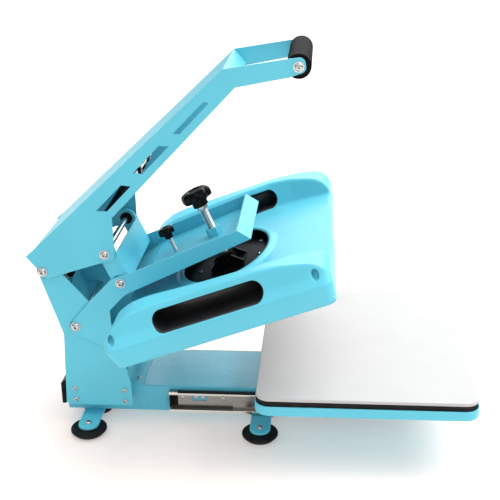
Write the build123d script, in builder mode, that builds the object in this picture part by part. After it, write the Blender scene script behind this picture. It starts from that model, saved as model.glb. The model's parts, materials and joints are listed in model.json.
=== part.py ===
"""Flat clamshell heat press with a slide-out lower platen, in millimetres.

X points to the operator, Y to the operator's right, Z up. The press is drawn open, with
the drawer pulled out. Sizes along X count from the rear foot bar, and the finished pieces
are shifted so that the origin is on the ground, midway between the ends of the press.
"""
from build123d import *
from math import atan2, cos, degrees, hypot, radians, sin
import os

os.makedirs("parts", exist_ok=True)

# Sheet metal and fits
SHEET = 3.0
THIN_SHEET = 2.0
BEND = 2.5
RUN_FIT = 0.05
FACE_GAP = 0.3
FREE_GAP = 0.5

# Feet and foot bars
FOOT_REACH = 136.8
FOOT_RADIUS = 35.5
FOOT_HEIGHT = 17.0
FOOT_ROUND = 3.0
FOOT_NECK_RADIUS = 18.0
FOOT_NECK_HEIGHT = 1.5
INNER_FOOT_REACH = 43.0
INNER_FOOT_RADIUS = 33.0
BAR_WIDTH = 40.0
BAR_THICK = 5.0
FOOT_SPACING = 339.6

# Base channel
BASE_REAR = -54.0
BASE_LENGTH = 454.0
BASE_HALF = 80.3
BASE_HEIGHT = 55.7

# Half widths over the side plates: the column and the arm nest inside the handle
HANDLE_HALF = 113.5
COLUMN_NEST = 6.5
ARM_NEST = 1.8

# Column
COLUMN_HALF = HANDLE_HALF - COLUMN_NEST
COLUMN_FOOT_Z = 46.0
COLUMN_REAR = -49.5
COLUMN_DEPTH = 134.0
COLUMN_WAIST = (-42.8, 201.0)
SPACER_TOP = 94.0
SPACER_INSET = 6.0
FRONT_PANEL_TOP = 124.0
FRONT_PANEL_FOOT = 25.5
COLUMN_SCREW_RADIUS = 4.8

# Mains inlet
INLET_Y, INLET_Z = -72.0, 70.0
INLET_WIDTH, INLET_HEIGHT = 50.0, 58.0
INLET_STANDOFF = 7.0
INLET_RECESS = 5.5
INLET_BEVEL = 12.0
SOCKET_DROP = 13.0
SWITCH_RISE = 8.0

# Linkage pivots, press open
HANDLE_PIVOT = (-71.5, 333.5)
LINK_TOP_PIVOT = (49.5, 370.5)
LINK_LOW_PIVOT = (76.0, 312.0)
ARM_PIVOT = (-16.5, 220.0)
PIN_RADIUS = 6.0
WASHER_RADIUS = 9.5
WASHER_THICK = 1.6

# Handle
GRIP_AXIS = (410.0, 720.0)
GRIP_RADIUS = 22.0
GRIP_RIBS = 8

# Link
LINK_BACK = 14.0
LINK_FRONT = 20.7
LINK_WEB_START = 7.7
LINK_SLOT_TRAVEL = 8.2
LINK_SLOT_SIDE = 1.2
LINK_BOSS_RADIUS = 19.0
LINK_BOSS_REACH = 7.0
BUSH_RADIUS = 11.0
BUSH_FLANGE_RADIUS = 12.5
BUSH_REACH = 9.0

# Lift arm, in its own frame: u along the arm, v square to it, from the arm pivot
ARM_HALF = HANDLE_HALF - ARM_NEST
ARM_SLOPE = 24.5
ARM_FLOOR_START = 168.0
ARM_RAMP = ((122.0, 23.3), (100.0, 15.5))
ARM_FLOOR_TOP = 30.3
ARM_NOSE = ((370.4, 52.1), (387.1, 27.3))
SCREW_U = 303.0
LOCK_U = 216.0

# Pressure screw and lock screw
STUD_RADIUS = 8.0
STUD_TOP = 112.0
KNOB_FOOT_V = 95.0
NUT_FLATS = 27.0
NUT_HEIGHT = 16.0
KNOB_RADIUS = 31.0
KNOB_HEIGHT = 34.0
KNOB_LOBES = 8
LOCK_STUD_RADIUS = 4.0
LOCK_STUD_TOP = 66.0
LOCK_KNOB_RADIUS = 16.5
LOCK_KNOB_HEIGHT = 23.0
LOCK_KNOB_SEAT = 6.0
LOCK_STUD_TAIL = 6.0

# Heat platen, in its own frame: a along the cover from its rear edge, h above its lower edge
FLOAT_TILT = 4.65
PIVOT_V = -22.9
PIVOT_BACK = 10.7
PIVOT_H = 34.0
COVER_LENGTH = 409.4
PIVOT_A = COVER_LENGTH / 2 - PIVOT_BACK
COVER_HALF = 300.0
COVER_WALL = 37.0
COVER_SHELL = 3.0
COVER_CORNER = 18.0
CREST_REAR = ((16.0, 64.0), (52.0, 80.5), (86.0, 86.0))
CREST_FRONT = ((115.4, 86.5), (69.4, 80.5), (23.4, 70.5), (5.4, 57.0))
CREST_END_HEIGHT = 44.0
CREST_OUT = 272.0
CREST_IN = 243.0
RIDGE_FOOT = 211.0
CREASE_OUT = 280.5
CREASE_HEIGHT = 53.0
SLOT_BACK = 6.7
SLOT_CENTRE = COVER_LENGTH / 2 - SLOT_BACK
SLOT_LENGTH = 202.0
SLOT_WIDE = 36.0
SLOT_H = 62.0
SLOT_FLOOR = 246.0
MOUTH_A = 88.0
MOUTH_Y = 125.0
LIP_WIDTH = 13.0
LIP_HEIGHT = 5.0
HEATER_END_GAP = 4.7
HEATER_SIDE_GAP = 50.0
HEATER_LENGTH = COVER_LENGTH - 2 * HEATER_END_GAP
HEATER_WIDTH = 2 * (COVER_HALF - HEATER_SIDE_GAP)
HEATER_THICK = 18.0
HEATER_DROP = 6.0
WOOL_THICK = 7.0
WOOL_MARGIN = 10.0
CARRIER_MARGIN = 12.0
POST_END_GAP = 30.0
POST_SIDE_GAP = 100.0
POST_LENGTH, POST_WIDTH = 16.0, 40.0
SWIVEL_PIN_RADIUS = 5.0
DIMPLE_RADIUS = 30.0
DIMPLE_DEPTH = 2.0
DIMPLE_ENDS = (12.0, 24.0)
DIMPLE_HEIGHT = 44.0

# Drawer
PAD_LENGTH = 400.0
PAD_WIDTH = 500.0
PAD_REAR = 338.6
PAD_TOP = 152.0
PAD_CORNER = 26.0
PAD_THICK = 5.8
CORE_THICK = 10.4
TRAY_LIP = 18.8
DRAWER_TRAVEL = 244.0

# Telescopic slides
RAIL_REAR = 155.0
RAIL_LENGTH = 245.0
RAIL_TRACK = 5.0
RAIL_HEIGHT = 45.0
RAIL_THICK = 12.7
RAIL_SHEET = 1.3
RAIL_FOOT_Z = 25.0
RAIL_WINDOW = (215.0, 54.0, 30.0, 15.0)
RAIL_SCREW_RADIUS = 4.5
RAIL_SCREWS = ((180.0, 54.0), (263.0, 53.0))
WINDOW_SCREWS = ((208.0, 54.0), (222.0, 53.0))

# Gas springs
SPRING_TOP = (107.0, 515.0)
SPRING_LOW = (-45.0, 292.0)
SPRING_REACH = 46.0
CYLINDER_RADIUS = 10.5
CYLINDER_LENGTH = 150.0
ROD_RADIUS = 4.5
SPRING_PIN_RADIUS = 5.0
SPRING_SLACK = 2.7

SIDES = {"left": -1, "right": 1}
HANDLE_REAR = -101.0
TRAY_REACH = 2.0
ORIGIN_X = (HANDLE_REAR + PAD_REAR + PAD_LENGTH + TRAY_REACH) / 2


def save(part, name):
    """Shifts one finished piece to the origin, labels it and writes its STEP file."""
    piece = part.moved(Location((-ORIGIN_X, 0, 0)))
    piece.label = name
    export_step(piece, f"parts/{name}.step")


def layer(side, inner, thick):
    """Upright plane from which an extrusion by thick fills inner to inner + thick on a side."""
    return Plane.XZ.offset(-(inner + thick)) if side > 0 else Plane.XZ.offset(inner)


def tilted(origin, slope, y=0.0):
    """Upright plane through a point of the side view, turned nose up by slope degrees."""
    run = (cos(radians(slope)), 0, sin(radians(slope)))
    return Plane(origin=(origin[0], y, origin[1]), x_dir=run, z_dir=(0, -1, 0))


def tilted_layer(origin, slope, side, inner, thick):
    """As layer, in a frame that is turned nose up by slope degrees."""
    return tilted(origin, slope, inner + thick if side > 0 else -inner)


def point_in(origin, slope, u, v):
    """Side-view point of a place given in a tilted frame."""
    c, s = cos(radians(slope)), sin(radians(slope))
    return (origin[0] + u * c - v * s, origin[1] + u * s + v * c)


def group(parts):
    """One node made of several finished pieces, fused where they meet."""
    with BuildPart() as node:
        for piece in parts:
            add(piece)
    return node.part


def copies(part, places):
    """One node that holds a copy of a piece at each place."""
    with BuildPart() as group:
        with Locations(*places):
            add(part)
    return group.part


def across(x, y, z):
    """Place whose upright axis points outward along Y, for fasteners on a side face."""
    return Location((x, y, z), (90, 0, 0) if y < 0 else (-90, 0, 0))


def button_screw(head_radius, head_height, socket_radius):
    """Button head with a hexagon socket, its seat on the XY plane."""
    with BuildPart() as screw:
        with BuildSketch(Plane.XZ):
            with BuildLine():
                Polyline((0, head_height), (0, 0), (head_radius, 0), (head_radius, 0.25 * head_height))
                ThreePointArc(
                    (head_radius, 0.25 * head_height),
                    (0.8 * head_radius, 0.78 * head_height),
                    (0.45 * head_radius, head_height),
                )
                Line((0.45 * head_radius, head_height), (0, head_height))
            make_face()
        revolve(axis=Axis.Z)
        with BuildSketch(Plane.XY.offset(head_height)):
            RegularPolygon(socket_radius, 6)
        extrude(amount=-0.6 * head_height, mode=Mode.SUBTRACT)
    return screw.part


def washer(radius, bore, thick):
    """Flat washer that lies on the XY plane."""
    with BuildPart() as ring:
        with BuildSketch():
            Circle(radius)
            Circle(bore, mode=Mode.SUBTRACT)
        extrude(amount=thick)
    return ring.part


def cross_rod(point, radius, half_length):
    """Rod along Y through a point of the side view."""
    with BuildPart() as rod:
        with BuildSketch(Plane.XZ.offset(-half_length)):
            with Locations(point):
                Circle(radius)
        extrude(amount=2 * half_length)
        chamfer(rod.edges().filter_by(GeomType.CIRCLE), 0.6)
    return rod.part


# Feet: thick rubber discs under the bar ends, and smaller ones under the base
def rubber_foot(radius):
    """Thick rubber disc with rounded edges and a low neck, from the ground to its bar."""
    with BuildPart() as foot:
        with BuildSketch(Plane.XZ) as profile:
            Rectangle(radius, FOOT_HEIGHT - FOOT_NECK_HEIGHT, align=(Align.MIN, Align.MIN))
            fillet(profile.vertices().group_by(Axis.X)[-1], FOOT_ROUND)
            Rectangle(FOOT_NECK_RADIUS, FOOT_HEIGHT, align=(Align.MIN, Align.MIN))
        revolve(axis=Axis.Z)
    return foot.part


BAR_XS = (0.0, FOOT_SPACING)
outer_spots = [(x, side * FOOT_REACH, 0) for x in BAR_XS for side in SIDES.values()]
inner_spots = [(x, side * INNER_FOOT_REACH, 0) for x in BAR_XS for side in SIDES.values()]
save(copies(rubber_foot(FOOT_RADIUS), outer_spots), "outer_feet")
save(copies(rubber_foot(INNER_FOOT_RADIUS), inner_spots), "inner_feet")

BAR_TOP = FOOT_HEIGHT + BAR_THICK
for bar_name, bar_x in zip(("rear", "front"), BAR_XS):
    with BuildPart() as foot_bar:
        with BuildSketch(Plane.XY.offset(FOOT_HEIGHT)):
            with Locations((bar_x, 0)):
                SlotCenterToCenter(2 * FOOT_REACH, BAR_WIDTH, rotation=90)
        extrude(amount=BAR_THICK)
        chamfer(foot_bar.faces().sort_by(Axis.Z)[-1].edges(), 0.8)
    save(foot_bar.part, f"{bar_name}_foot_bar")

bar_screw = button_screw(7.0, 4.2, 2.6)
save(copies(bar_screw, [(x, y, BAR_TOP) for x, y, _ in outer_spots]), "foot_screws")

# Base: a folded channel with a closed top, on the two bars, and its bottom sheet
BASE_TOP = BAR_TOP + BASE_HEIGHT
BASE_FRONT = BASE_REAR + BASE_LENGTH
BASE_MID = (BASE_REAR + BASE_FRONT) / 2
with BuildPart() as base_channel:
    with BuildSketch(Plane.XY.offset(BAR_TOP)):
        with Locations((BASE_MID, 0)):
            Rectangle(BASE_LENGTH, 2 * BASE_HALF)
    extrude(amount=BASE_HEIGHT)
    fillet(base_channel.edges().filter_by(Axis.Z), BEND)
    fillet(base_channel.faces().sort_by(Axis.Z)[-1].edges(), BEND)
    with BuildSketch(Plane.XY.offset(BAR_TOP)):
        with Locations((BASE_MID, 0)):
            Rectangle(BASE_LENGTH - 2 * THIN_SHEET, 2 * (BASE_HALF - THIN_SHEET))
    extrude(amount=BASE_HEIGHT - THIN_SHEET, mode=Mode.SUBTRACT)
save(base_channel.part, "base_channel")

with BuildPart() as base_bottom:
    with BuildSketch(Plane.XY.offset(BAR_TOP)):
        with Locations((BASE_MID, 0)):
            Rectangle(BASE_LENGTH - 2 * THIN_SHEET - 0.4, 2 * (BASE_HALF - THIN_SHEET) - 0.4)
    extrude(amount=THIN_SHEET)
save(base_bottom.part, "base_bottom_plate")

# Column: two side plates on spacer boxes beside the base, with folded panels between them
COLUMN_IN = COLUMN_HALF - SHEET
COLUMN_FRONT = COLUMN_REAR + COLUMN_DEPTH
COLUMN_OUTLINE = [
    (COLUMN_REAR, COLUMN_FOOT_Z),
    (COLUMN_FRONT, COLUMN_FOOT_Z),
    (COLUMN_FRONT - 1.5, 95.0),
    (76.0, 127.0),
    (58.0, 216.0),
    (12.0, 270.0),
    (-36.0, 327.0),
    (-52.0, 347.0),
    (-84.0, 347.0),
    (-79.0, 318.0),
    COLUMN_WAIST,
]
COLUMN_ROUNDS = [
    ((-84.0, 347.0), 12.0),
    ((-52.0, 347.0), 12.0),
    ((58.0, 216.0), 20.0),
    ((COLUMN_REAR, COLUMN_FOOT_Z), 8.0),
    ((COLUMN_FRONT, COLUMN_FOOT_Z), 5.0),
]
COLUMN_SCREWS = [(-30.0, 82.0), (-29.0, 58.0), (69.0, 80.0), (69.0, 56.0)]
spacers = []
for name, side in SIDES.items():
    with BuildPart() as column_plate:
        with BuildSketch(layer(side, COLUMN_IN, SHEET)) as outline:
            with BuildLine():
                Polyline(*COLUMN_OUTLINE, close=True)
            make_face()
            for spot, radius in COLUMN_ROUNDS:
                fillet(outline.vertices().sort_by_distance(spot)[0], radius)
            with Locations(HANDLE_PIVOT, ARM_PIVOT):
                Circle(PIN_RADIUS, mode=Mode.SUBTRACT)
        extrude(amount=SHEET)
    save(column_plate.part, f"column_plate_{name}")

    with BuildPart() as spacer:
        with BuildSketch(layer(side, BASE_HALF, COLUMN_IN - BASE_HALF)):
            with Locations(((COLUMN_REAR + COLUMN_FRONT) / 2, (COLUMN_FOOT_Z + SPACER_TOP) / 2)):
                Rectangle(COLUMN_DEPTH - 2 * SPACER_INSET, SPACER_TOP - COLUMN_FOOT_Z)
        extrude(amount=COLUMN_IN - BASE_HALF)
        fillet(spacer.edges().filter_by(Axis.Y), BEND)
    spacers.append(spacer.part)
save(group(spacers), "column_spacers")

column_screw = button_screw(COLUMN_SCREW_RADIUS, 3.0, 1.8)
screw_places = [across(x, s * COLUMN_HALF, z) for x, z in COLUMN_SCREWS for s in SIDES.values()]
screw_places += [Location((90.0, y, BASE_TOP + THIN_SHEET)) for y in (-54.0, 54.0)]
save(copies(column_screw, screw_places), "column_screws")

PANEL_INSET = 3.0
REAR_PATH = [(COLUMN_REAR + PANEL_INSET, BASE_TOP), (COLUMN_WAIST[0] + 0.8, COLUMN_WAIST[1]), (-73.0, 297.0)]
with BuildPart() as rear_panel:
    with BuildSketch(Plane.XZ.offset(-COLUMN_IN)):
        with BuildLine():
            Polyline(
                *REAR_PATH,
                (REAR_PATH[2][0] + THIN_SHEET, REAR_PATH[2][1] + 0.7),
                (REAR_PATH[1][0] + THIN_SHEET, REAR_PATH[1][1]),
                (REAR_PATH[0][0] + THIN_SHEET, REAR_PATH[0][1]),
                close=True,
            )
        make_face()
    extrude(amount=2 * COLUMN_IN)
save(rear_panel.part, "column_rear_panel")

FRONT_WEB_X = 76.0
with BuildPart() as front_panel:
    with BuildSketch(Plane.XZ.offset(-COLUMN_IN)):
        with BuildLine():
            Polyline(
                (FRONT_WEB_X, FRONT_PANEL_TOP),
                (FRONT_WEB_X, BASE_TOP),
                (FRONT_WEB_X + FRONT_PANEL_FOOT, BASE_TOP),
                (FRONT_WEB_X + FRONT_PANEL_FOOT, BASE_TOP + THIN_SHEET),
                (FRONT_WEB_X + THIN_SHEET, BASE_TOP + THIN_SHEET),
                (FRONT_WEB_X + THIN_SHEET, FRONT_PANEL_TOP),
                close=True,
            )
        make_face()
    extrude(amount=2 * COLUMN_IN)
    notch_middles = [side * (COLUMN_IN + BASE_HALF) / 2 for side in SIDES.values()]
    with BuildSketch(Plane.YZ.offset(FRONT_WEB_X)):
        with Locations(*[(y, BASE_TOP) for y in notch_middles]):
            Rectangle(COLUMN_IN - BASE_HALF + 1.0, 2 * (SPACER_TOP + 1.0 - BASE_TOP))
    extrude(amount=FRONT_PANEL_FOOT, mode=Mode.SUBTRACT)
save(front_panel.part, "column_front_panel")

# Mains inlet at the rear of the base, to the operator's left, stepped over the base's end
PANEL_REAR = REAR_PATH[0][0]
INLET_REAR = BASE_REAR - INLET_STANDOFF
with BuildPart() as inlet:
    with BuildSketch(Plane.YZ.offset(INLET_REAR)):
        with Locations((INLET_Y, INLET_Z)):
            RectangleRounded(INLET_WIDTH, INLET_HEIGHT, 3.0)
    extrude(amount=PANEL_REAR - INLET_REAR)
    inlet_top = INLET_Z + INLET_HEIGHT / 2
    with BuildSketch(Plane.XZ.offset(-INLET_Y - INLET_WIDTH / 2 - 1.0)):
        with BuildLine():
            Polyline(
                (INLET_REAR, inlet_top), (INLET_REAR, inlet_top - INLET_BEVEL), (PANEL_REAR, inlet_top), close=True
            )
        make_face()
    extrude(amount=INLET_WIDTH + 2.0, mode=Mode.SUBTRACT)
    with BuildSketch(Plane.YZ.offset(BASE_REAR)):
        with Locations((INLET_Y, BASE_TOP)):
            Rectangle(INLET_WIDTH + 2.0, INLET_HEIGHT, align=(Align.CENTER, Align.MAX))
    extrude(amount=PANEL_REAR - BASE_REAR, mode=Mode.SUBTRACT)
    with BuildSketch(Plane.YZ.offset(INLET_REAR)):
        with Locations((INLET_Y, INLET_Z - SOCKET_DROP)):
            RectangleRounded(28.0, 20.0, 4.0)
        with Locations((INLET_Y, INLET_Z + SWITCH_RISE)):
            RectangleRounded(24.0, 15.0, 1.0)
    extrude(amount=INLET_RECESS, mode=Mode.SUBTRACT)
save(inlet.part, "power_inlet")
with BuildPart() as rocker:
    with BuildSketch(Plane.YZ.offset(INLET_REAR + INLET_RECESS)):
        with Locations((INLET_Y, INLET_Z + SWITCH_RISE)):
            Rectangle(23.0, 14.0)
    extrude(amount=-INLET_RECESS - 1.5)
    fillet(rocker.faces().sort_by(Axis.X)[0].edges(), 1.0)
save(rocker.part, "power_switch")

# Fixed cross rods of the column, with the spacer rings between column and moving plates
HANDLE_IN = HANDLE_HALF - SHEET
ARM_IN = ARM_HALF - SHEET
save(
    group(
        [
            cross_rod(HANDLE_PIVOT, PIN_RADIUS, HANDLE_HALF + FACE_GAP),
            cross_rod(ARM_PIVOT, PIN_RADIUS, ARM_HALF + FACE_GAP),
            cross_rod(SPRING_LOW, SPRING_PIN_RADIUS, COLUMN_IN),
        ]
    ),
    "column_rods",
)

with BuildPart() as pivot_screw:
    add(washer(WASHER_RADIUS, 1.0, WASHER_THICK))
    with Locations((0, 0, WASHER_THICK)):
        add(button_screw(7.6, 4.6, 2.9))


def pivot_screws(points):
    """Screw heads with their washers on both sides, for (point, seat distance from the middle)."""
    seats = [across(x, s * half, z) for (x, z), half in points for s in SIDES.values()]
    return copies(pivot_screw.part, seats)


column_pivots = [(HANDLE_PIVOT, HANDLE_HALF + FACE_GAP), (ARM_PIVOT, ARM_HALF + FACE_GAP)]
save(pivot_screws(column_pivots), "column_pivot_screws")

handle_ring = washer(12.0, PIN_RADIUS, HANDLE_IN - COLUMN_HALF - FACE_GAP)
arm_ring = washer(12.0, PIN_RADIUS, ARM_IN - COLUMN_HALF - FACE_GAP)
with BuildPart() as pivot_rings:
    with Locations(*[across(HANDLE_PIVOT[0], s * COLUMN_HALF, HANDLE_PIVOT[1]) for s in SIDES.values()]):
        add(handle_ring)
    with Locations(*[across(ARM_PIVOT[0], s * COLUMN_HALF, ARM_PIVOT[1]) for s in SIDES.values()]):
        add(arm_ring)
save(pivot_rings.part, "pivot_spacer_rings")

# Handle: two slotted side plates with a folded web between them
HANDLE_OUTLINE = [
    (HANDLE_REAR, 364.0),
    (-65.0, 319.0),
    (-35.0, 329.0),
    (42.0, 353.0),
    (69.0, 360.0),
    (68.0, 442.0),
    (300.0, 684.0),
    (395.0, 702.0),
    (424.0, 712.0),
    (420.0, 737.0),
    (395.0, 734.0),
    (279.0, 716.0),
    (-86.0, 377.0),
]
HANDLE_ROUNDS = [
    ((69.0, 360.0), 14.0),
    ((-65.0, 319.0), 8.0),
    ((424.0, 712.0), 11.0),
    ((420.0, 737.0), 11.0),
]
HANDLE_SLOTS = [
    [(40.0, 456.0), (89.0, 506.0), (107.0, 504.0), (60.0, 455.0)],
    [(112.0, 528.0), (162.0, 580.0), (180.0, 579.0), (129.0, 527.0)],
    [(188.0, 602.0), (244.0, 659.0), (254.0, 657.0), (200.0, 601.0)],
]
handle_pieces = []
for side in SIDES.values():
    with BuildPart() as handle_plate:
        with BuildSketch(layer(side, HANDLE_IN, SHEET)) as outline:
            with BuildLine():
                Polyline(*HANDLE_OUTLINE, close=True)
            make_face()
            for spot, radius in HANDLE_ROUNDS:
                fillet(outline.vertices().sort_by_distance(spot)[0], radius)
            with Locations(HANDLE_PIVOT):
                Circle(PIN_RADIUS + RUN_FIT, mode=Mode.SUBTRACT)
            with Locations(LINK_TOP_PIVOT):
                Circle(PIN_RADIUS, mode=Mode.SUBTRACT)
        extrude(amount=SHEET)
        for corners in HANDLE_SLOTS:
            with BuildSketch(layer(side, HANDLE_IN, SHEET)):
                with BuildLine():
                    Polyline(*corners, close=True)
                make_face()
            extrude(amount=SHEET, mode=Mode.SUBTRACT)
    handle_pieces.append(handle_plate.part)

WEB_START, WEB_END = HANDLE_OUTLINE[-1], HANDLE_OUTLINE[-2]
WEB_LIP = 35.0
WEB_SLOPE = degrees(atan2(WEB_END[1] - WEB_START[1], WEB_END[0] - WEB_START[0]))
WEB_LENGTH = hypot(WEB_END[0] - WEB_START[0], WEB_END[1] - WEB_START[1])
with BuildPart() as handle_web:
    with BuildSketch(tilted(WEB_START, WEB_SLOPE, HANDLE_IN)):
        with BuildLine():
            Polyline(
                (4.0, 0),
                (WEB_LENGTH, 0),
                (WEB_LENGTH, -WEB_LIP),
                (WEB_LENGTH - SHEET, -WEB_LIP),
                (WEB_LENGTH - SHEET, -SHEET),
                (4.0, -SHEET),
                close=True,
            )
        make_face()
    extrude(amount=2 * HANDLE_IN)
save(group(handle_pieces + [handle_web.part]), "handle_frame")

GRIP_END_GAP = 2.0
GRIP_PLAIN_END = 10.0
GROOVE_WIDTH, GROOVE_DEPTH = 6.0, 2.5
with BuildPart() as grip:
    with BuildSketch(Plane.XZ.offset(-(HANDLE_IN - GRIP_END_GAP))):
        with Locations(GRIP_AXIS):
            Circle(GRIP_RADIUS)
            Circle(PIN_RADIUS, mode=Mode.SUBTRACT)
    extrude(amount=2 * (HANDLE_IN - GRIP_END_GAP))
    fillet(grip.edges().filter_by(GeomType.CIRCLE).group_by(SortBy.RADIUS)[-1], 4.0)
    pitch = 2 * (HANDLE_IN - GRIP_PLAIN_END) / GRIP_RIBS
    for rib in range(1, GRIP_RIBS):
        with BuildSketch(Plane.XZ.offset(GRIP_PLAIN_END - HANDLE_IN + rib * pitch - GROOVE_WIDTH / 2)):
            with Locations(GRIP_AXIS):
                Circle(GRIP_RADIUS + 1.0)
                Circle(GRIP_RADIUS - GROOVE_DEPTH, mode=Mode.SUBTRACT)
        extrude(amount=GROOVE_WIDTH, mode=Mode.SUBTRACT)
save(grip.part, "handle_grip")
save(
    group(
        [
            cross_rod(GRIP_AXIS, PIN_RADIUS, HANDLE_IN),
            cross_rod(LINK_TOP_PIVOT, PIN_RADIUS, HANDLE_HALF),
            cross_rod(SPRING_TOP, SPRING_PIN_RADIUS, HANDLE_IN),
        ]
    ),
    "handle_rods",
)
save(pivot_screws([(LINK_TOP_PIVOT, HANDLE_HALF), (GRIP_AXIS, HANDLE_HALF)]), "handle_screws")

# Link: a short channel from the handle to the lift arm; its lower bore is the open pivot
LINK_IN = COLUMN_HALF - SHEET
LINK_SPAN = hypot(LINK_LOW_PIVOT[0] - LINK_TOP_PIVOT[0], LINK_LOW_PIVOT[1] - LINK_TOP_PIVOT[1])
LINK_SLOPE = degrees(atan2(LINK_LOW_PIVOT[1] - LINK_TOP_PIVOT[1], LINK_LOW_PIVOT[0] - LINK_TOP_PIVOT[0]))
link_pieces = []
for side in SIDES.values():
    with BuildPart() as link_plate:
        with BuildSketch(tilted_layer(LINK_TOP_PIVOT, LINK_SLOPE, side, LINK_IN, SHEET)):
            with Locations((LINK_SPAN / 2, 0)):
                SlotCenterToCenter(LINK_SPAN, 2 * LINK_BACK)
            with Locations((LINK_WEB_START, 0)):
                Rectangle(LINK_SPAN - LINK_WEB_START + 2.4, LINK_FRONT, align=(Align.MIN, Align.MIN))
            Circle(BUSH_RADIUS, mode=Mode.SUBTRACT)
            with Locations((LINK_SPAN - LINK_SLOT_TRAVEL / 2, -LINK_SLOT_SIDE + 0.2)):
                slot_wide = 2 * (PIN_RADIUS + LINK_SLOT_SIDE + FREE_GAP)
                SlotCenterToCenter(LINK_SLOT_TRAVEL, slot_wide, mode=Mode.SUBTRACT)
        extrude(amount=SHEET)
        with BuildSketch(layer(side, LINK_IN - LINK_BOSS_REACH, LINK_BOSS_REACH)):
            with Locations(LINK_TOP_PIVOT):
                Circle(LINK_BOSS_RADIUS)
                Circle(BUSH_FLANGE_RADIUS, mode=Mode.SUBTRACT)
        extrude(amount=LINK_BOSS_REACH)
    link_pieces.append(link_plate.part)

with BuildPart() as link_web:
    with BuildSketch(tilted(LINK_TOP_PIVOT, LINK_SLOPE, LINK_IN)):
        with Locations((LINK_WEB_START, LINK_FRONT - SHEET)):
            Rectangle(LINK_SPAN - LINK_WEB_START + 2.4, SHEET, align=(Align.MIN, Align.MIN))
    extrude(amount=2 * LINK_IN)
save(group(link_pieces + [link_web.part]), "link_channel")

with BuildPart() as link_bushes:
    for side in SIDES.values():
        with BuildSketch(layer(side, LINK_IN, SHEET)):
            with Locations(LINK_TOP_PIVOT):
                Circle(BUSH_RADIUS)
                Circle(PIN_RADIUS + RUN_FIT, mode=Mode.SUBTRACT)
        extrude(amount=SHEET)
        with BuildSketch(layer(side, LINK_IN - BUSH_REACH, BUSH_REACH)):
            with Locations(LINK_TOP_PIVOT):
                Circle(BUSH_FLANGE_RADIUS)
                Circle(PIN_RADIUS + RUN_FIT, mode=Mode.SUBTRACT)
        extrude(amount=BUSH_REACH)
save(link_bushes.part, "link_bushes")

# Lift arm: two side plates, a floor between them with a ramp at the rear, and a slanted nose
ARM_OUTLINE = [
    (-9.0, 8.0),
    (47.1, 34.6),
    (108.9, 59.2),
    (163.5, 56.2),
    ARM_NOSE[0],
    ARM_NOSE[1],
    (118.0, 20.8),
    (76.0, 3.0),
    (68.0, -16.1),
    (45.0, -76.1),
    (-10.0, -12.5),
]
ARM_ROUNDS = [((-9.0, 8.0), 8.0), ((-10.0, -12.5), 8.0), ((118.0, 20.8), 30.0), ((108.9, 59.2), 12.0)]
LOW_PIN_X, LOW_PIN_Z = LINK_LOW_PIVOT[0] - ARM_PIVOT[0], LINK_LOW_PIVOT[1] - ARM_PIVOT[1]
LOW_PIN_U = LOW_PIN_X * cos(radians(ARM_SLOPE)) + LOW_PIN_Z * sin(radians(ARM_SLOPE))
LOW_PIN_V = LOW_PIN_Z * cos(radians(ARM_SLOPE)) - LOW_PIN_X * sin(radians(ARM_SLOPE))
ARM_FLOOR_LOW = ARM_FLOOR_TOP - SHEET
arm_pieces = []
for side in SIDES.values():
    with BuildPart() as arm_plate:
        with BuildSketch(tilted_layer(ARM_PIVOT, ARM_SLOPE, side, ARM_IN, SHEET)) as outline:
            with BuildLine():
                Polyline(*ARM_OUTLINE, close=True)
            make_face()
            for spot, radius in ARM_ROUNDS:
                fillet(outline.vertices().sort_by_distance(spot)[0], radius)
            Circle(PIN_RADIUS + RUN_FIT, mode=Mode.SUBTRACT)
            with Locations((LOW_PIN_U, LOW_PIN_V)):
                Circle(PIN_RADIUS, mode=Mode.SUBTRACT)
        extrude(amount=SHEET)
    arm_pieces.append(arm_plate.part)

NOSE_RUN = ARM_NOSE[1][0] - ARM_NOSE[0][0]
NOSE_FALL = ARM_NOSE[0][1] - ARM_NOSE[1][1]
NOSE_SHIFT = SHEET * hypot(NOSE_RUN, NOSE_FALL) / NOSE_FALL
NOSE_FOOT_U = ARM_NOSE[0][0] + (ARM_NOSE[0][1] - ARM_FLOOR_TOP) * NOSE_RUN / NOSE_FALL - NOSE_SHIFT
with BuildPart() as arm_floor:
    with BuildSketch(tilted(ARM_PIVOT, ARM_SLOPE, ARM_IN)):
        with BuildLine():
            Polyline(
                *reversed(ARM_RAMP),
                (ARM_FLOOR_START, ARM_FLOOR_TOP),
                (NOSE_FOOT_U, ARM_FLOOR_TOP),
                (ARM_NOSE[0][0] - NOSE_SHIFT, ARM_NOSE[0][1]),
                ARM_NOSE[0],
                ARM_NOSE[1],
                (ARM_FLOOR_START, ARM_FLOOR_LOW),
                *[(u, v - THIN_SHEET) for u, v in ARM_RAMP],
                close=True,
            )
        make_face()
    extrude(amount=2 * ARM_IN)
    floor_plane = tilted(ARM_PIVOT, ARM_SLOPE)
    screw_plane = Plane(
        origin=floor_plane.from_local_coords((SCREW_U, ARM_FLOOR_TOP, 0)),
        x_dir=floor_plane.x_dir,
        z_dir=floor_plane.y_dir,
    )
    lock_plane = Plane(
        origin=floor_plane.from_local_coords((LOCK_U, ARM_FLOOR_TOP, 0)),
        x_dir=floor_plane.x_dir,
        z_dir=floor_plane.y_dir,
    )
    with BuildSketch(screw_plane):
        Circle(STUD_RADIUS + 1.0)
    extrude(amount=-SHEET, mode=Mode.SUBTRACT)
    with BuildSketch(lock_plane):
        Circle(LOCK_STUD_RADIUS + RUN_FIT)
    extrude(amount=-SHEET, mode=Mode.SUBTRACT)
save(group(arm_pieces + [arm_floor.part]), "lift_arm")
save(cross_rod(LINK_LOW_PIVOT, PIN_RADIUS, ARM_HALF), "arm_link_rod")
save(pivot_screws([(LINK_LOW_PIVOT, ARM_HALF)]), "arm_screws")

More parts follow.
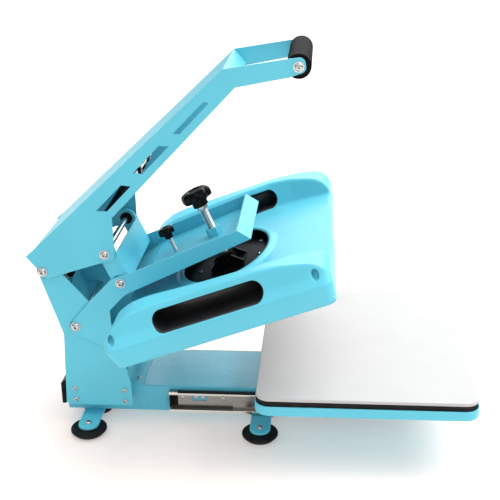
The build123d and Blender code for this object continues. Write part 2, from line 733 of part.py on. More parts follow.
with BuildPart() as pressure_nut:
    with BuildSketch(screw_plane):
        RegularPolygon(NUT_FLATS / 2, 6, major_radius=False)
        Circle(STUD_RADIUS + RUN_FIT, mode=Mode.SUBTRACT)
    extrude(amount=NUT_HEIGHT)
save(pressure_nut.part, "pressure_nut")

# Pressure screw: star knob on a steel stud that ends in the swivel block
PIVOT_DROP = PIVOT_V - ARM_FLOOR_TOP
BLOCK_HEIGHT = 22.0
BLOCK_TOP = PIVOT_DROP + 14.0
SPIGOT_RADIUS = 5.0
SPIGOT_LENGTH = 8.0


def star_knob(plane, base, radius, height, lobes, bore):
    """Lobed knob over a hub, with its axis square to a plane and its foot at a height."""
    with BuildPart() as knob:
        with BuildSketch(plane.offset(base + 0.35 * height)):
            Circle(radius)
            with PolarLocations(radius + 0.08 * radius, lobes):
                Circle(0.2 * radius, mode=Mode.SUBTRACT)
        extrude(amount=0.65 * height)
        fillet(knob.faces().sort_by(Axis((0, 0, 0), plane.z_dir))[-1].edges(), 0.06 * radius)
        with BuildSketch(plane.offset(base)):
            Circle(0.5 * radius)
        extrude(amount=0.4 * height)
        with BuildSketch(plane.offset(base)):
            Circle(bore)
        extrude(amount=0.6 * height, mode=Mode.SUBTRACT)
    return knob.part


KNOB_FOOT = KNOB_FOOT_V - ARM_FLOOR_TOP
with BuildPart() as stud:
    with BuildSketch(screw_plane.offset(BLOCK_TOP + FACE_GAP)):
        Circle(STUD_RADIUS)
    extrude(amount=STUD_TOP - ARM_FLOOR_TOP - BLOCK_TOP - FACE_GAP)
    with BuildSketch(screw_plane.offset(BLOCK_TOP - SPIGOT_LENGTH)):
        Circle(SPIGOT_RADIUS)
    extrude(amount=SPIGOT_LENGTH + FACE_GAP)
save(stud.part, "pressure_stud")
save(star_knob(screw_plane, KNOB_FOOT, KNOB_RADIUS, KNOB_HEIGHT, KNOB_LOBES, STUD_RADIUS), "pressure_knob")

with BuildPart() as block:
    with BuildSketch(screw_plane.offset(BLOCK_TOP)):
        RectangleRounded(34.0, 40.0, 4.0)
        Circle(SPIGOT_RADIUS + RUN_FIT, mode=Mode.SUBTRACT)
    extrude(amount=-BLOCK_HEIGHT)
    with BuildSketch(tilted(ARM_PIVOT, ARM_SLOPE, 20.0)):
        with Locations((SCREW_U, PIVOT_V)):
            Circle(SWIVEL_PIN_RADIUS + RUN_FIT)
    extrude(amount=40.0, mode=Mode.SUBTRACT)
save(block.part, "swivel_block")

# Lock screw: small knob on a thin stud through the arm floor
with BuildPart() as lock_stud:
    with BuildSketch(lock_plane.offset(-SHEET - LOCK_STUD_TAIL)):
        Circle(LOCK_STUD_RADIUS)
    extrude(amount=LOCK_STUD_TOP - ARM_FLOOR_LOW + LOCK_STUD_TAIL)
save(lock_stud.part, "lock_stud")
LOCK_FOOT = LOCK_STUD_TOP - ARM_FLOOR_TOP - LOCK_KNOB_SEAT
save(star_knob(lock_plane, LOCK_FOOT, LOCK_KNOB_RADIUS, LOCK_KNOB_HEIGHT, 7, LOCK_STUD_RADIUS), "lock_knob")

# Heat platen frame: a along its length, Y across, h square to it
PLATEN_SLOPE = ARM_SLOPE - FLOAT_TILT
SWIVEL = point_in(ARM_PIVOT, ARM_SLOPE, SCREW_U, PIVOT_V)
PLATEN_ORIGIN = point_in(SWIVEL, PLATEN_SLOPE, -PIVOT_A, -PIVOT_H)
PLATEN_RUN = (cos(radians(PLATEN_SLOPE)), 0, sin(radians(PLATEN_SLOPE)))
PLATEN_UP = (-sin(radians(PLATEN_SLOPE)), 0, cos(radians(PLATEN_SLOPE)))
PLATEN = Plane(origin=(PLATEN_ORIGIN[0], 0, PLATEN_ORIGIN[1]), x_dir=PLATEN_RUN, z_dir=PLATEN_UP)
CREST_LINE = [
    (0.0, 0.0),
    (0.0, CREST_END_HEIGHT),
    *CREST_REAR,
    *[(COVER_LENGTH - back, height) for back, height in CREST_FRONT],
    (COVER_LENGTH, COVER_WALL - 1.0),
    (COVER_LENGTH, 0.0),
]


def platen_side(y):
    """Upright plane of the platen's side view, at one distance from the middle."""
    return tilted(PLATEN_ORIGIN, PLATEN_SLOPE, y)


def cover_form(inset):
    """Closed outer form of the cover, shrunk all round by an inset."""
    with BuildPart() as form:
        with BuildSketch(PLATEN):
            with Locations((COVER_LENGTH / 2, 0)):
                RectangleRounded(COVER_LENGTH - 2 * inset, 2 * (COVER_HALF - inset), COVER_CORNER - inset)
        extrude(amount=COVER_WALL - inset)
        if inset == 0:
            fillet(form.faces().sort_by(Axis((0, 0, 0), PLATEN_UP))[-1].edges(), 5.0)
    ridges = []
    for side in SIDES.values():
        with BuildPart() as ridge:
            with BuildSketch(platen_side(COVER_HALF)):
                with BuildLine():
                    Polyline(*CREST_LINE, close=True)
                make_face()
                offset(amount=-inset if inset else -0.01)
            extrude(amount=2 * COVER_HALF)
            section = Plane(origin=PLATEN.origin, x_dir=(0, 1, 0), z_dir=PLATEN_RUN)
            with BuildSketch(section.offset(-20.0)):
                with BuildLine():
                    Polyline(
                        (side * (COVER_HALF - inset), 0),
                        (side * (COVER_HALF - inset), COVER_WALL - inset),
                        (side * (CREASE_OUT - inset), CREASE_HEIGHT - inset),
                        (side * (CREST_OUT - inset), 120.0),
                        (side * (CREST_IN + inset), 120.0),
                        (side * (RIDGE_FOOT + inset), COVER_WALL - inset),
                        (side * (RIDGE_FOOT + inset), 0),
                        close=True,
                    )
                make_face()
            extrude(amount=COVER_LENGTH + 40.0, mode=Mode.INTERSECT)
        ridges.append(ridge.part)
    with BuildPart() as whole:
        add(form.part)
        for ridge_part in ridges:
            add(ridge_part)
    return whole.part


cover_outer = cover_form(0.0)
cover_inner = cover_form(COVER_SHELL)

with BuildPart() as cover:
    add(cover_outer)
    add(cover_inner, mode=Mode.SUBTRACT)
    with BuildSketch(PLATEN.offset(COVER_WALL - COVER_SHELL)):
        with Locations((PIVOT_A, 0)):
            Ellipse(MOUTH_A + LIP_WIDTH, MOUTH_Y + 1.4 * LIP_WIDTH)
    extrude(amount=COVER_SHELL + LIP_HEIGHT, taper=35)
    with BuildSketch(PLATEN):
        with Locations((PIVOT_A, 0)):
            Ellipse(MOUTH_A, MOUTH_Y)
    extrude(amount=COVER_WALL + 4 * LIP_HEIGHT, mode=Mode.SUBTRACT)
    with BuildSketch(platen_side(COVER_HALF + 10.0)):
        with Locations((SLOT_CENTRE, SLOT_H)):
            SlotOverall(SLOT_LENGTH, SLOT_WIDE)
    extrude(amount=2 * COVER_HALF + 20.0, mode=Mode.SUBTRACT)
    shoulder_run, shoulder_rise = COVER_HALF - CREASE_OUT, CREASE_HEIGHT - COVER_WALL
    shoulder_share = (DIMPLE_HEIGHT - COVER_WALL) / shoulder_rise
    reach = (DIMPLE_RADIUS - DIMPLE_DEPTH) / hypot(shoulder_run, shoulder_rise)
    for side in SIDES.values():
        for a in (DIMPLE_ENDS[0], COVER_LENGTH - DIMPLE_ENDS[1]):
            y = COVER_HALF - shoulder_share * shoulder_run + reach * shoulder_rise
            dimple = PLATEN.location * Location((a, side * y, DIMPLE_HEIGHT + reach * shoulder_run))
            with Locations(dimple):
                Sphere(DIMPLE_RADIUS, mode=Mode.SUBTRACT)
save(cover.part, "platen_cover")

# Vent sleeves inside the ridges, with a divider so that the slots show a dark pocket
sleeves = []
for side in SIDES.values():
    with BuildPart() as sleeve:
        with BuildSketch(platen_side(side * COVER_HALF if side > 0 else -RIDGE_FOOT)):
            with Locations((SLOT_CENTRE, SLOT_H)):
                SlotOverall(SLOT_LENGTH + 4.0, SLOT_WIDE + 4.0)
                SlotOverall(SLOT_LENGTH, SLOT_WIDE, mode=Mode.SUBTRACT)
        extrude(amount=COVER_HALF - RIDGE_FOOT)
        with BuildSketch(platen_side(side * SLOT_FLOOR + THIN_SHEET / 2)):
            with Locations((SLOT_CENTRE, SLOT_H)):
                SlotOverall(SLOT_LENGTH + 2.0, SLOT_WIDE + 2.0)
        extrude(amount=THIN_SHEET)
        add(cover_inner, mode=Mode.INTERSECT)
    sleeves.append(sleeve.part)
save(group(sleeves), "vent_sleeves")

# Underframe, heating plate, insulation and the plate that carries the clevis
HEATER_MID = COVER_LENGTH / 2
with BuildPart() as underframe:
    with BuildSketch(PLATEN.offset(1.0)):
        with Locations((HEATER_MID, 0)):
            RectangleRounded(
                COVER_LENGTH - 2 * COVER_SHELL, 2 * (COVER_HALF - COVER_SHELL), COVER_CORNER - COVER_SHELL
            )
            RectangleRounded(HEATER_LENGTH + FREE_GAP, HEATER_WIDTH + FREE_GAP, 10.0, mode=Mode.SUBTRACT)
    extrude(amount=THIN_SHEET)
save(underframe.part, "platen_underframe")

with BuildPart() as heater:
    with BuildSketch(PLATEN.offset(-HEATER_DROP)):
        with Locations((HEATER_MID, 0)):
            RectangleRounded(HEATER_LENGTH, HEATER_WIDTH, 10.0)
    extrude(amount=HEATER_THICK)
    chamfer(heater.faces().sort_by(Axis((0, 0, 0), PLATEN_UP))[0].edges(), 1.0)
save(heater.part, "heating_plate")

WOOL_TOP = HEATER_THICK - HEATER_DROP + WOOL_THICK
with BuildPart() as wool:
    with BuildSketch(PLATEN.offset(HEATER_THICK - HEATER_DROP)):
        with Locations((HEATER_MID, 0)):
            Rectangle(HEATER_LENGTH - 2 * WOOL_MARGIN, HEATER_WIDTH - 2 * WOOL_MARGIN)
    extrude(amount=WOOL_THICK)
save(wool.part, "insulation_mat")

PLATE_TOP = WOOL_TOP + THIN_SHEET
with BuildPart() as carrier:
    with BuildSketch(PLATEN.offset(WOOL_TOP)):
        with Locations((HEATER_MID, 0)):
            Rectangle(HEATER_LENGTH - 2 * CARRIER_MARGIN, HEATER_WIDTH - 2 * CARRIER_MARGIN)
    extrude(amount=THIN_SHEET)
    with BuildSketch(PLATEN.offset(PLATE_TOP)):
        with Locations((HEATER_MID, 0)):
            with GridLocations(COVER_LENGTH - 2 * POST_END_GAP, HEATER_WIDTH - 2 * POST_SIDE_GAP, 2, 2):
                Rectangle(POST_LENGTH, POST_WIDTH)
    extrude(amount=COVER_WALL - COVER_SHELL - PLATE_TOP)
save(carrier.part, "carrier_plate")

carrier_spots = [(PIVOT_A + da, dy) for da in (-62.0, 62.0) for dy in (-74.0, 0.0, 74.0)]
with BuildPart() as carrier_screws:
    for a, y in carrier_spots:
        with Locations(PLATEN.location * Location((a, y, PLATE_TOP))):
            add(button_screw(4.2, 2.4, 1.7))
save(carrier_screws.part, "carrier_screws")

LUG_IN = 20.5
LUG_THICK = 5.0
with BuildPart() as clevis:
    with BuildSketch(PLATEN.offset(PLATE_TOP)):
        with Locations((PIVOT_A - 27.0, 0), (PIVOT_A + 27.0, 0)):
            Rectangle(14.0, 2 * (LUG_IN + LUG_THICK) + 20.0)
    extrude(amount=3.0)
    for side in SIDES.values():
        with BuildSketch(platen_side(side * (LUG_IN + LUG_THICK) if side > 0 else -LUG_IN)):
            with BuildLine():
                Polyline(
                    (PIVOT_A - 34.0, PLATE_TOP),
                    (PIVOT_A + 34.0, PLATE_TOP),
                    (PIVOT_A + 34.0, PLATE_TOP + 6.0),
                    (PIVOT_A + 12.0, PIVOT_H + 12.0),
                    (PIVOT_A - 12.0, PIVOT_H + 12.0),
                    (PIVOT_A - 34.0, PLATE_TOP + 6.0),
                    close=True,
                )
            make_face()
            with Locations((PIVOT_A, PIVOT_H)):
                Circle(SWIVEL_PIN_RADIUS, mode=Mode.SUBTRACT)
        extrude(amount=LUG_THICK)
save(clevis.part, "clevis")

with BuildPart() as swivel_pin:
    with BuildSketch(platen_side(LUG_IN + LUG_THICK + 4.0)):
        with Locations((PIVOT_A, PIVOT_H)):
            Circle(SWIVEL_PIN_RADIUS)
    extrude(amount=2 * (LUG_IN + LUG_THICK + 4.0))
    for y in (LUG_IN + LUG_THICK + 5.0, -LUG_IN - LUG_THICK):
        with BuildSketch(platen_side(y)):
            with Locations((PIVOT_A, PIVOT_H)):
                RegularPolygon(9.0, 6)
        extrude(amount=5.0)
save(swivel_pin.part, "swivel_pin")

# Gas springs: cylinders hang from the handle, rods end on the lower rod of the column
SPRING_SPAN = hypot(SPRING_LOW[0] - SPRING_TOP[0], SPRING_LOW[1] - SPRING_TOP[1])
SPRING_DIR = ((SPRING_LOW[0] - SPRING_TOP[0]) / SPRING_SPAN, 0, (SPRING_LOW[1] - SPRING_TOP[1]) / SPRING_SPAN)
EYE_RADIUS = SPRING_PIN_RADIUS + SPRING_SLACK + 4.0
EYE_THICK = 10.0
TUBE_START = 14.0
TUBE_END = TUBE_START + CYLINDER_LENGTH
TUBE_WALL = 1.2
CAP_THICK = 8.0
PISTON_AT = 118.0
PISTON_THICK = 9.0
tube_parts, rod_parts, collar_parts = [], [], []
for side in SIDES.values():
    spring_start = (SPRING_TOP[0], side * SPRING_REACH, SPRING_TOP[1])
    axis = Plane(origin=spring_start, x_dir=(0, 1, 0), z_dir=SPRING_DIR)
    with BuildPart() as tube:
        with BuildSketch(axis.offset(TUBE_START)):
            Circle(CYLINDER_RADIUS)
        extrude(amount=CYLINDER_LENGTH)
        with BuildSketch(axis.offset(TUBE_START + CAP_THICK)):
            Circle(CYLINDER_RADIUS - TUBE_WALL)
        extrude(amount=CYLINDER_LENGTH - 2 * CAP_THICK, mode=Mode.SUBTRACT)
        with BuildSketch(axis.offset(TUBE_END - CAP_THICK)):
            Circle(ROD_RADIUS + RUN_FIT)
        extrude(amount=CAP_THICK, mode=Mode.SUBTRACT)
        with BuildSketch(axis.offset(SPRING_PIN_RADIUS + 2.0)):
            Circle(ROD_RADIUS)
        extrude(amount=TUBE_START - SPRING_PIN_RADIUS - 2.0)
        with BuildSketch(Plane.XZ.offset(-side * SPRING_REACH - EYE_THICK / 2)):
            with Locations(SPRING_TOP):
                Circle(EYE_RADIUS - SPRING_SLACK)
        extrude(amount=EYE_THICK)
        with BuildSketch(Plane.XZ.offset(-side * SPRING_REACH - EYE_THICK / 2)):
            with Locations(SPRING_TOP):
                Circle(SPRING_PIN_RADIUS + RUN_FIT)
        extrude(amount=EYE_THICK, mode=Mode.SUBTRACT)
    tube_parts.append(tube.part)
    with BuildPart() as collar:
        with BuildSketch(axis.offset(TUBE_END - 11.0)):
            Circle(CYLINDER_RADIUS + 0.9)
            Circle(CYLINDER_RADIUS, mode=Mode.SUBTRACT)
        extrude(amount=8.0)
    collar_parts.append(collar.part)
    with BuildPart() as rod:
        with BuildSketch(axis.offset(PISTON_AT)):
            Circle(ROD_RADIUS)
        extrude(amount=SPRING_SPAN - PISTON_AT - EYE_RADIUS + 3.0)
        with BuildSketch(axis.offset(PISTON_AT)):
            Circle(CYLINDER_RADIUS - TUBE_WALL - RUN_FIT)
        extrude(amount=PISTON_THICK)
        with BuildSketch(Plane.XZ.offset(-side * SPRING_REACH - EYE_THICK / 2)):
            with Locations(SPRING_LOW):
                Circle(EYE_RADIUS)
                Circle(SPRING_PIN_RADIUS + SPRING_SLACK, mode=Mode.SUBTRACT)
        extrude(amount=EYE_THICK)
    rod_parts.append(rod.part)
save(group(tube_parts), "spring_cylinders")
save(group(collar_parts), "spring_collars")
save(group(rod_parts), "spring_rods")

# Telescopic slides on the base walls, three members a side
MEMBER_LENGTH = RAIL_LENGTH - RAIL_TRACK
MEMBERS = {
    "outer": (RAIL_REAR, RAIL_LENGTH, 0.0, 12.0, 0.0, False),
    "middle": (RAIL_REAR + RAIL_TRACK + DRAWER_TRAVEL / 2, MEMBER_LENGTH, 2.6, 11.0, 4.5, False),
    "inner": (RAIL_REAR + RAIL_TRACK + DRAWER_TRAVEL, MEMBER_LENGTH, 5.2, RAIL_THICK, 9.5, True),
}


def rail(side, rear, length, near, far, margin, web_outside):
    """One channel-shaped slide member beside a base wall; near and far count from that wall."""
    low = RAIL_FOOT_Z + margin
    high = RAIL_FOOT_Z + RAIL_HEIGHT - margin
    with BuildPart() as member:
        with BuildSketch(layer(side, BASE_HALF + near, far - near)):
            with Locations((rear + length / 2, (low + high) / 2)):
                RectangleRounded(length, high - low, 1.0)
        extrude(amount=far - near)
        start = near if web_outside else near + RAIL_SHEET
        with BuildSketch(layer(side, BASE_HALF + start, far - near - RAIL_SHEET)):
            with Locations((rear + length / 2, (low + high) / 2)):
                Rectangle(length, high - low - 2 * RAIL_SHEET)
        extrude(amount=far - near - RAIL_SHEET, mode=Mode.SUBTRACT)
    return member.part


RAIL_MID_Z = RAIL_FOOT_Z + RAIL_HEIGHT / 2
OUTER_REAR, MIDDLE_REAR, INNER_REAR = (MEMBERS[kind][0] for kind in ("outer", "middle", "inner"))
for kind, sizes in MEMBERS.items():
    with BuildPart() as members:
        for side in SIDES.values():
            add(rail(side, *sizes))
        if kind == "outer":
            window_x, window_z, window_length, window_height = RAIL_WINDOW
            with BuildSketch(Plane.XZ.offset(-BASE_HALF - RAIL_THICK)):
                with Locations((window_x, window_z)):
                    Rectangle(window_length, window_height)
            extrude(amount=2 * (BASE_HALF + RAIL_THICK), mode=Mode.SUBTRACT)
    save(members.part, f"slide_{kind}_members")
rail_screw = button_screw(RAIL_SCREW_RADIUS, 1.2, 2.0)
rail_screw_seats = [(x, BASE_HALF + RAIL_SHEET, z) for x, z in RAIL_SCREWS]
rail_screw_seats += [(x, BASE_HALF, z) for x, z in WINDOW_SCREWS]
screw_places = [across(x, side * y, z) for x, y, z in rail_screw_seats for side in SIDES.values()]
save(copies(rail_screw, screw_places), "slide_screws")
cage_pieces = []
for side in SIDES.values():
    with BuildPart() as cages:
        for rear, near, low, high in (
            (MIDDLE_REAR + 8.0, 4.0, 0.0, 4.5),
            (INNER_REAR + 8.0, 6.4, 4.5, 9.5),
        ):
            tall = high - low - RAIL_SHEET - RUN_FIT
            for base_z in (
                RAIL_FOOT_Z + low + RAIL_SHEET + (RUN_FIT if low == 0.0 else 0.0),
                RAIL_FOOT_Z + RAIL_HEIGHT - low - RAIL_SHEET - tall - (RUN_FIT if low == 0.0 else 0.0),
            ):
                with BuildSketch(layer(side, BASE_HALF + near, 4.0)):
                    with Locations((rear, base_z)):
                        Rectangle(108.0, tall, align=(Align.MIN, Align.MIN))
                extrude(amount=4.0)
    cage_pieces.append(cages.part)
save(group(cage_pieces), "slide_ball_cages")

with BuildPart() as end_stops:
    for side in SIDES.values():
        for length, thick in ((4.0, 10.0), (16.0, 1.2)):
            with BuildSketch(layer(side, BASE_HALF + RAIL_SHEET, thick)):
                with Locations((OUTER_REAR + FREE_GAP, RAIL_MID_Z)):
                    Rectangle(length, 24.0, align=(Align.MIN, Align.CENTER))
            extrude(amount=thick)
save(end_stops.part, "slide_end_stops")

# Drawer: brackets on the inner members carry the tray, the pad and its white facing
TRAY_TOP = PAD_TOP - PAD_THICK - CORE_THICK
TRAY_LOW = TRAY_TOP - TRAY_LIP
PAD_MID = PAD_REAR + PAD_LENGTH / 2
FLANGE_THICK = 2.5
RUNNER_IN = BASE_HALF + RAIL_THICK
runners = []
for side in SIDES.values():
    with BuildPart() as runner:
        with BuildSketch(layer(side, RUNNER_IN, FLANGE_THICK)):
            with Locations((INNER_REAR + MEMBER_LENGTH / 2, (30.0 + TRAY_LOW) / 2)):
                Rectangle(MEMBER_LENGTH, TRAY_LOW - 30.0)
        extrude(amount=FLANGE_THICK)
        with BuildSketch(Plane.XY.offset(TRAY_LOW - FLANGE_THICK)):
            with Locations((INNER_REAR + MEMBER_LENGTH / 2, side * (RUNNER_IN + 13.5))):
                Rectangle(MEMBER_LENGTH, 27.0)
        extrude(amount=FLANGE_THICK)
    runners.append(runner.part)
save(group(runners), "drawer_runners")

with BuildPart() as tray:
    with BuildSketch(Plane.XY.offset(TRAY_LOW)):
        with Locations((PAD_MID, 0)):
            RectangleRounded(PAD_LENGTH + 2 * TRAY_REACH, PAD_WIDTH + 2 * TRAY_REACH, PAD_CORNER + TRAY_REACH)
    extrude(amount=TRAY_LIP)
    fillet(tray.faces().sort_by(Axis.Z)[0].edges(), 2.0)
    with BuildSketch(Plane.XY.offset(TRAY_LOW + THIN_SHEET)):
        with Locations((PAD_MID, 0)):
            RectangleRounded(PAD_LENGTH, PAD_WIDTH, PAD_CORNER)
    extrude(amount=TRAY_LIP, mode=Mode.SUBTRACT)
save(tray.part, "drawer_tray")

with BuildPart() as core:
    with BuildSketch(Plane.XY.offset(TRAY_LOW + THIN_SHEET)):
        with Locations((PAD_MID, 0)):
            RectangleRounded(PAD_LENGTH - 2.0, PAD_WIDTH - 2.0, PAD_CORNER - 1.0)
    extrude(amount=PAD_TOP - PAD_THICK - TRAY_LOW - THIN_SHEET)
save(core.part, "pad_core")

with BuildPart() as facing:
    with BuildSketch(Plane.XY.offset(PAD_TOP - PAD_THICK)):
        with Locations((PAD_MID, 0)):
            RectangleRounded(PAD_LENGTH, PAD_WIDTH, PAD_CORNER)
    extrude(amount=PAD_THICK)
    fillet(facing.faces().sort_by(Axis.Z)[-1].edges(), 1.8)
save(facing.part, "pad_facing")
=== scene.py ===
"""Looks of a flat clamshell heat press with a slide-out lower platen.

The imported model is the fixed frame. Sheet metal, rods and rails keep their solids and get
finishes. The platen's moulded cover, the knobs, the grip, the feet and the threads are new
surfaces worked out with numpy. They are given in millimetres and placed in the same frame.
"""

from __future__ import annotations

import json
import logging
import math
from dataclasses import dataclass
from enum import Enum
from typing import Any, Sequence

import bmesh
import bpy
import numpy as np
from mathutils import Matrix, Vector


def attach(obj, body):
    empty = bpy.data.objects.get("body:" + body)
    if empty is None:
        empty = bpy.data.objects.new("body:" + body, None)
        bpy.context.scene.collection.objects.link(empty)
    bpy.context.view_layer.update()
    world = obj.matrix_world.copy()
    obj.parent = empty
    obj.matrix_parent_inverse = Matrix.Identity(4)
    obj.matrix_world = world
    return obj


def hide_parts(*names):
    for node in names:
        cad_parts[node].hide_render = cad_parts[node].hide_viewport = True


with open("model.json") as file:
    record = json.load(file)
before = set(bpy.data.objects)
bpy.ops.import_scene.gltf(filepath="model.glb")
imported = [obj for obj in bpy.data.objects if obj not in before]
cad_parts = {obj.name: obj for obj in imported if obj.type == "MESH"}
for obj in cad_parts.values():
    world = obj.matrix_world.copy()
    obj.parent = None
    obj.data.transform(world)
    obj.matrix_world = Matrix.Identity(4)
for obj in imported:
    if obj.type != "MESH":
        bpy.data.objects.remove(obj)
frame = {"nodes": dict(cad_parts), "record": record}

LOG = logging.getLogger("heat_press")
ORIGIN_X = 0.3198
MM = 0.001
Triple = tuple[float, float, float]
Colour = Triple
Finishes = dict[str, bpy.types.Material]
Surface = tuple[np.ndarray, list[np.ndarray]]


class Side(Enum):
    """Side of the press, as the sign of Y: LEFT is the operator's left, nearer the camera."""

    LEFT = -1
    RIGHT = 1


class Graph:
    """Node tree of one material or of the world, with one method that adds any node."""

    def __init__(self, owner: bpy.types.Material | bpy.types.World, ending: str) -> None:
        """Empties the owner's node tree and adds its output node.

        Args:
            owner: the material or the world.
            ending: type of the output node.
        """
        owner.use_nodes = True
        self.owner = owner
        self.tree = owner.node_tree
        self.tree.nodes.clear()
        self.output = self.tree.nodes.new(ending)

    @classmethod
    def material(cls, name: str) -> Graph:
        """Graph of a new material."""
        return cls(bpy.data.materials.new(name), "ShaderNodeOutputMaterial")

    @classmethod
    def world(cls, name: str) -> Graph:
        """Graph of a new world."""
        return cls(bpy.data.worlds.new(name), "ShaderNodeOutputWorld")

    def node(self, kind: str, settings: dict[str, Any] | None = None, **inputs: Any) -> bpy.types.Node:
        """Adds a node.

        Args:
            kind: the node's type.
            settings: its own settings, set before any socket.
            inputs: socket values or links, by socket name with _ for a space, or as s0, s1.

        Returns:
            The node.
        """
        made = self.tree.nodes.new(kind)
        for key, value in (settings or {}).items():
            setattr(made, key, value)
        for key, value in inputs.items():
            numbered = key[0] == "s" and key[1:].isdigit()
            socket = made.inputs[int(key[1:])] if numbered else made.inputs[key.replace("_", " ")]
            self.feed(socket, value)
        return made

    def feed(self, socket: bpy.types.NodeSocket, value: Any) -> None:
        """Links a wrapped output to a socket, or sets the socket's own value.

        Args:
            socket: the input socket.
            value: a Wire, a colour or a number.
        """
        if isinstance(value, Wire):
            self.tree.links.new(value.socket, socket)
        elif isinstance(value, tuple) and socket.type == "RGBA":
            socket.default_value = (*value, 1)
        else:
            socket.default_value = value

    def out(self, made: bpy.types.Node, name: str | int = 0) -> Wire:
        """Wraps one output of a node."""
        return Wire(self, made.outputs[name])

    def place(self) -> Wire:
        """Object coordinates: on a finished piece, its place in the press, in metres."""
        return self.out(self.node("ShaderNodeTexCoord"), "Object")

    def noise(self, scale: float, detail: float = 3.0, stretch: Triple = (1.0, 1.0, 1.0)) -> Wire:
        """Noise over the object.

        Args:
            scale: features per metre.
            detail: number of finer layers.
            stretch: factor along each axis.

        Returns:
            The noise value, 0 to 1.
        """
        at = self.node("ShaderNodeVectorMath", {"operation": "MULTIPLY"}, s0=self.place(), s1=stretch)
        return self.out(self.node("ShaderNodeTexNoise", None, Vector=self.out(at), Scale=scale, Detail=detail))

    def mix(self, factor: Wire | float, first: Wire | Colour, second: Wire | Colour) -> Wire:
        """Mixes two colours by a factor."""
        made = self.node("ShaderNodeMix", {"data_type": "RGBA"}, s0=factor, s6=first, s7=second)
        return self.out(made, 2)

    def open_air(self, reach: float) -> Wire:
        """How open the surface is within a reach, for the piece by itself."""
        settings = {"samples": 8, "only_local": True}
        return self.out(self.node("ShaderNodeAmbientOcclusion", settings, Distance=reach), "AO")

    def bump(self, strength: float, depth: float, height: Wire, **under: Wire) -> Wire:
        """Normal bumped by a height pattern, over another normal where one is given."""
        made = self.node("ShaderNodeBump", None, Strength=strength, Distance=depth, Height=height, **under)
        return self.out(made)

    def edges(self, radius: float) -> tuple[Wire, Wire]:
        """Finds the edges of a piece.

        Args:
            radius: how far from an edge the normal is softened.

        Returns:
            The softened normal and a mask that is 0 on faces and rises on edges.
        """
        soft = self.out(self.node("ShaderNodeBevel", {"samples": 6}, Radius=radius))
        flat = self.out(self.node("ShaderNodeNewGeometry"), "Normal")
        product = self.node("ShaderNodeVectorMath", {"operation": "DOT_PRODUCT"}, s0=soft, s1=flat)
        return soft, (1.0 - self.out(product, "Value")).ramp(0.004, 0.16)

    def finish(self, shader: bpy.types.Node) -> bpy.types.Material | bpy.types.World:
        """Links the shader to the output and hands back the graph's owner."""
        self.tree.links.new(shader.outputs[0], self.output.inputs["Surface"])
        return self.owner

    def principled(self, **inputs: Any) -> bpy.types.Material:
        """Ends the graph in the main shader with these inputs."""
        return self.finish(self.node("ShaderNodeBsdfPrincipled", None, **inputs))


class Wire:
    """One output of a node; arithmetic on it adds Math nodes."""

    def __init__(self, graph: Graph, socket: bpy.types.NodeSocket) -> None:
        """Keeps the graph and the output socket."""
        self.graph = graph
        self.socket = socket

    def _math(self, operation: str, *values: Wire | float) -> Wire:
        """Adds one Math node on these values."""
        inputs = {f"s{index}": value for index, value in enumerate(values)}
        return self.graph.out(self.graph.node("ShaderNodeMath", {"operation": operation}, **inputs))

    def __add__(self, other: Wire | float) -> Wire:
        """Sum."""
        return self._math("ADD", self, other)

    def __radd__(self, other: float) -> Wire:
        """Sum, number first."""
        return self._math("ADD", other, self)

    def __sub__(self, other: Wire | float) -> Wire:
        """Difference."""
        return self._math("SUBTRACT", self, other)

    def __rsub__(self, other: float) -> Wire:
        """Difference, number first."""
        return self._math("SUBTRACT", other, self)

    def __mul__(self, other: Wire | float) -> Wire:
        """Product."""
        return self._math("MULTIPLY", self, other)

    def __rmul__(self, other: float) -> Wire:
        """Product, number first."""
        return self._math("MULTIPLY", other, self)

    def sine(self) -> Wire:
        """Sine, in radians."""
        return self._math("SINE", self)

    def ramp(self, low: float, high: float) -> Wire:
        """Rises from 0 at low to 1 at high, smoothly."""
        made = self.graph.node("ShaderNodeMapRange", {"interpolation_type": "SMOOTHSTEP"}, s0=self, s1=low, s2=high)
        return self.graph.out(made)


def toned(colour: Colour, *factors: float, lift: float = 0.0) -> Colour:
    """Colour times one factor, or one for each channel, plus a lift, at most 1."""
    return tuple(min(1.0, c * f + lift) for c, f in zip(colour, factors * (3 // len(factors))))


@dataclass(frozen=True)
class PowderCoat:
    """Powder coat with a fine orange-peel skin, edges made paler as a painted highlight and hollows deepened as
    painted shade; lengths in metres.
    """

    name: str
    colour: Colour
    rough: float = 0.36
    edge: float = 0.0011
    edge_highlight_share: float = 0.8
    # Reach and tone of the painted shade in hollows.
    shade_reach: float = 0.035
    shade_tone: Colour = (0.25, 0.55, 0.62)
    peel: float = 0.05
    peel_depth: float = 0.0006
    specular: float = 0.27

    def build(self) -> bpy.types.Material:
        """Makes the material.

        Returns:
            The material.
        """
        g = Graph.material(self.name)
        soft, edge = g.edges(self.edge)
        base = g.mix(g.noise(7.0, 4.0).ramp(0.3, 0.7), toned(self.colour, 0.93), self.colour)
        # Painted highlight: edges are mixed toward a paler blue.
        edge_highlit = g.mix(edge * self.edge_highlight_share, base, toned(self.colour, 1.25, lift=0.10))
        # Painted shade: where the piece closes in around a point, the colour is mixed toward this deeper blue.
        painted_shade = toned(self.colour, *self.shade_tone)
        skin = g.noise(620.0, 2.0) + g.noise(1500.0, 2.0) * 0.35
        return g.principled(
            Base_Color=g.mix(g.open_air(self.shade_reach).ramp(0.05, 0.60), painted_shade, edge_highlit),
            Roughness=g.noise(35.0, 3.0) * 0.10 + (self.rough - 0.05),
            Specular_IOR_Level=self.specular,
            Normal=g.bump(self.peel, self.peel_depth, skin, Normal=soft),
        )


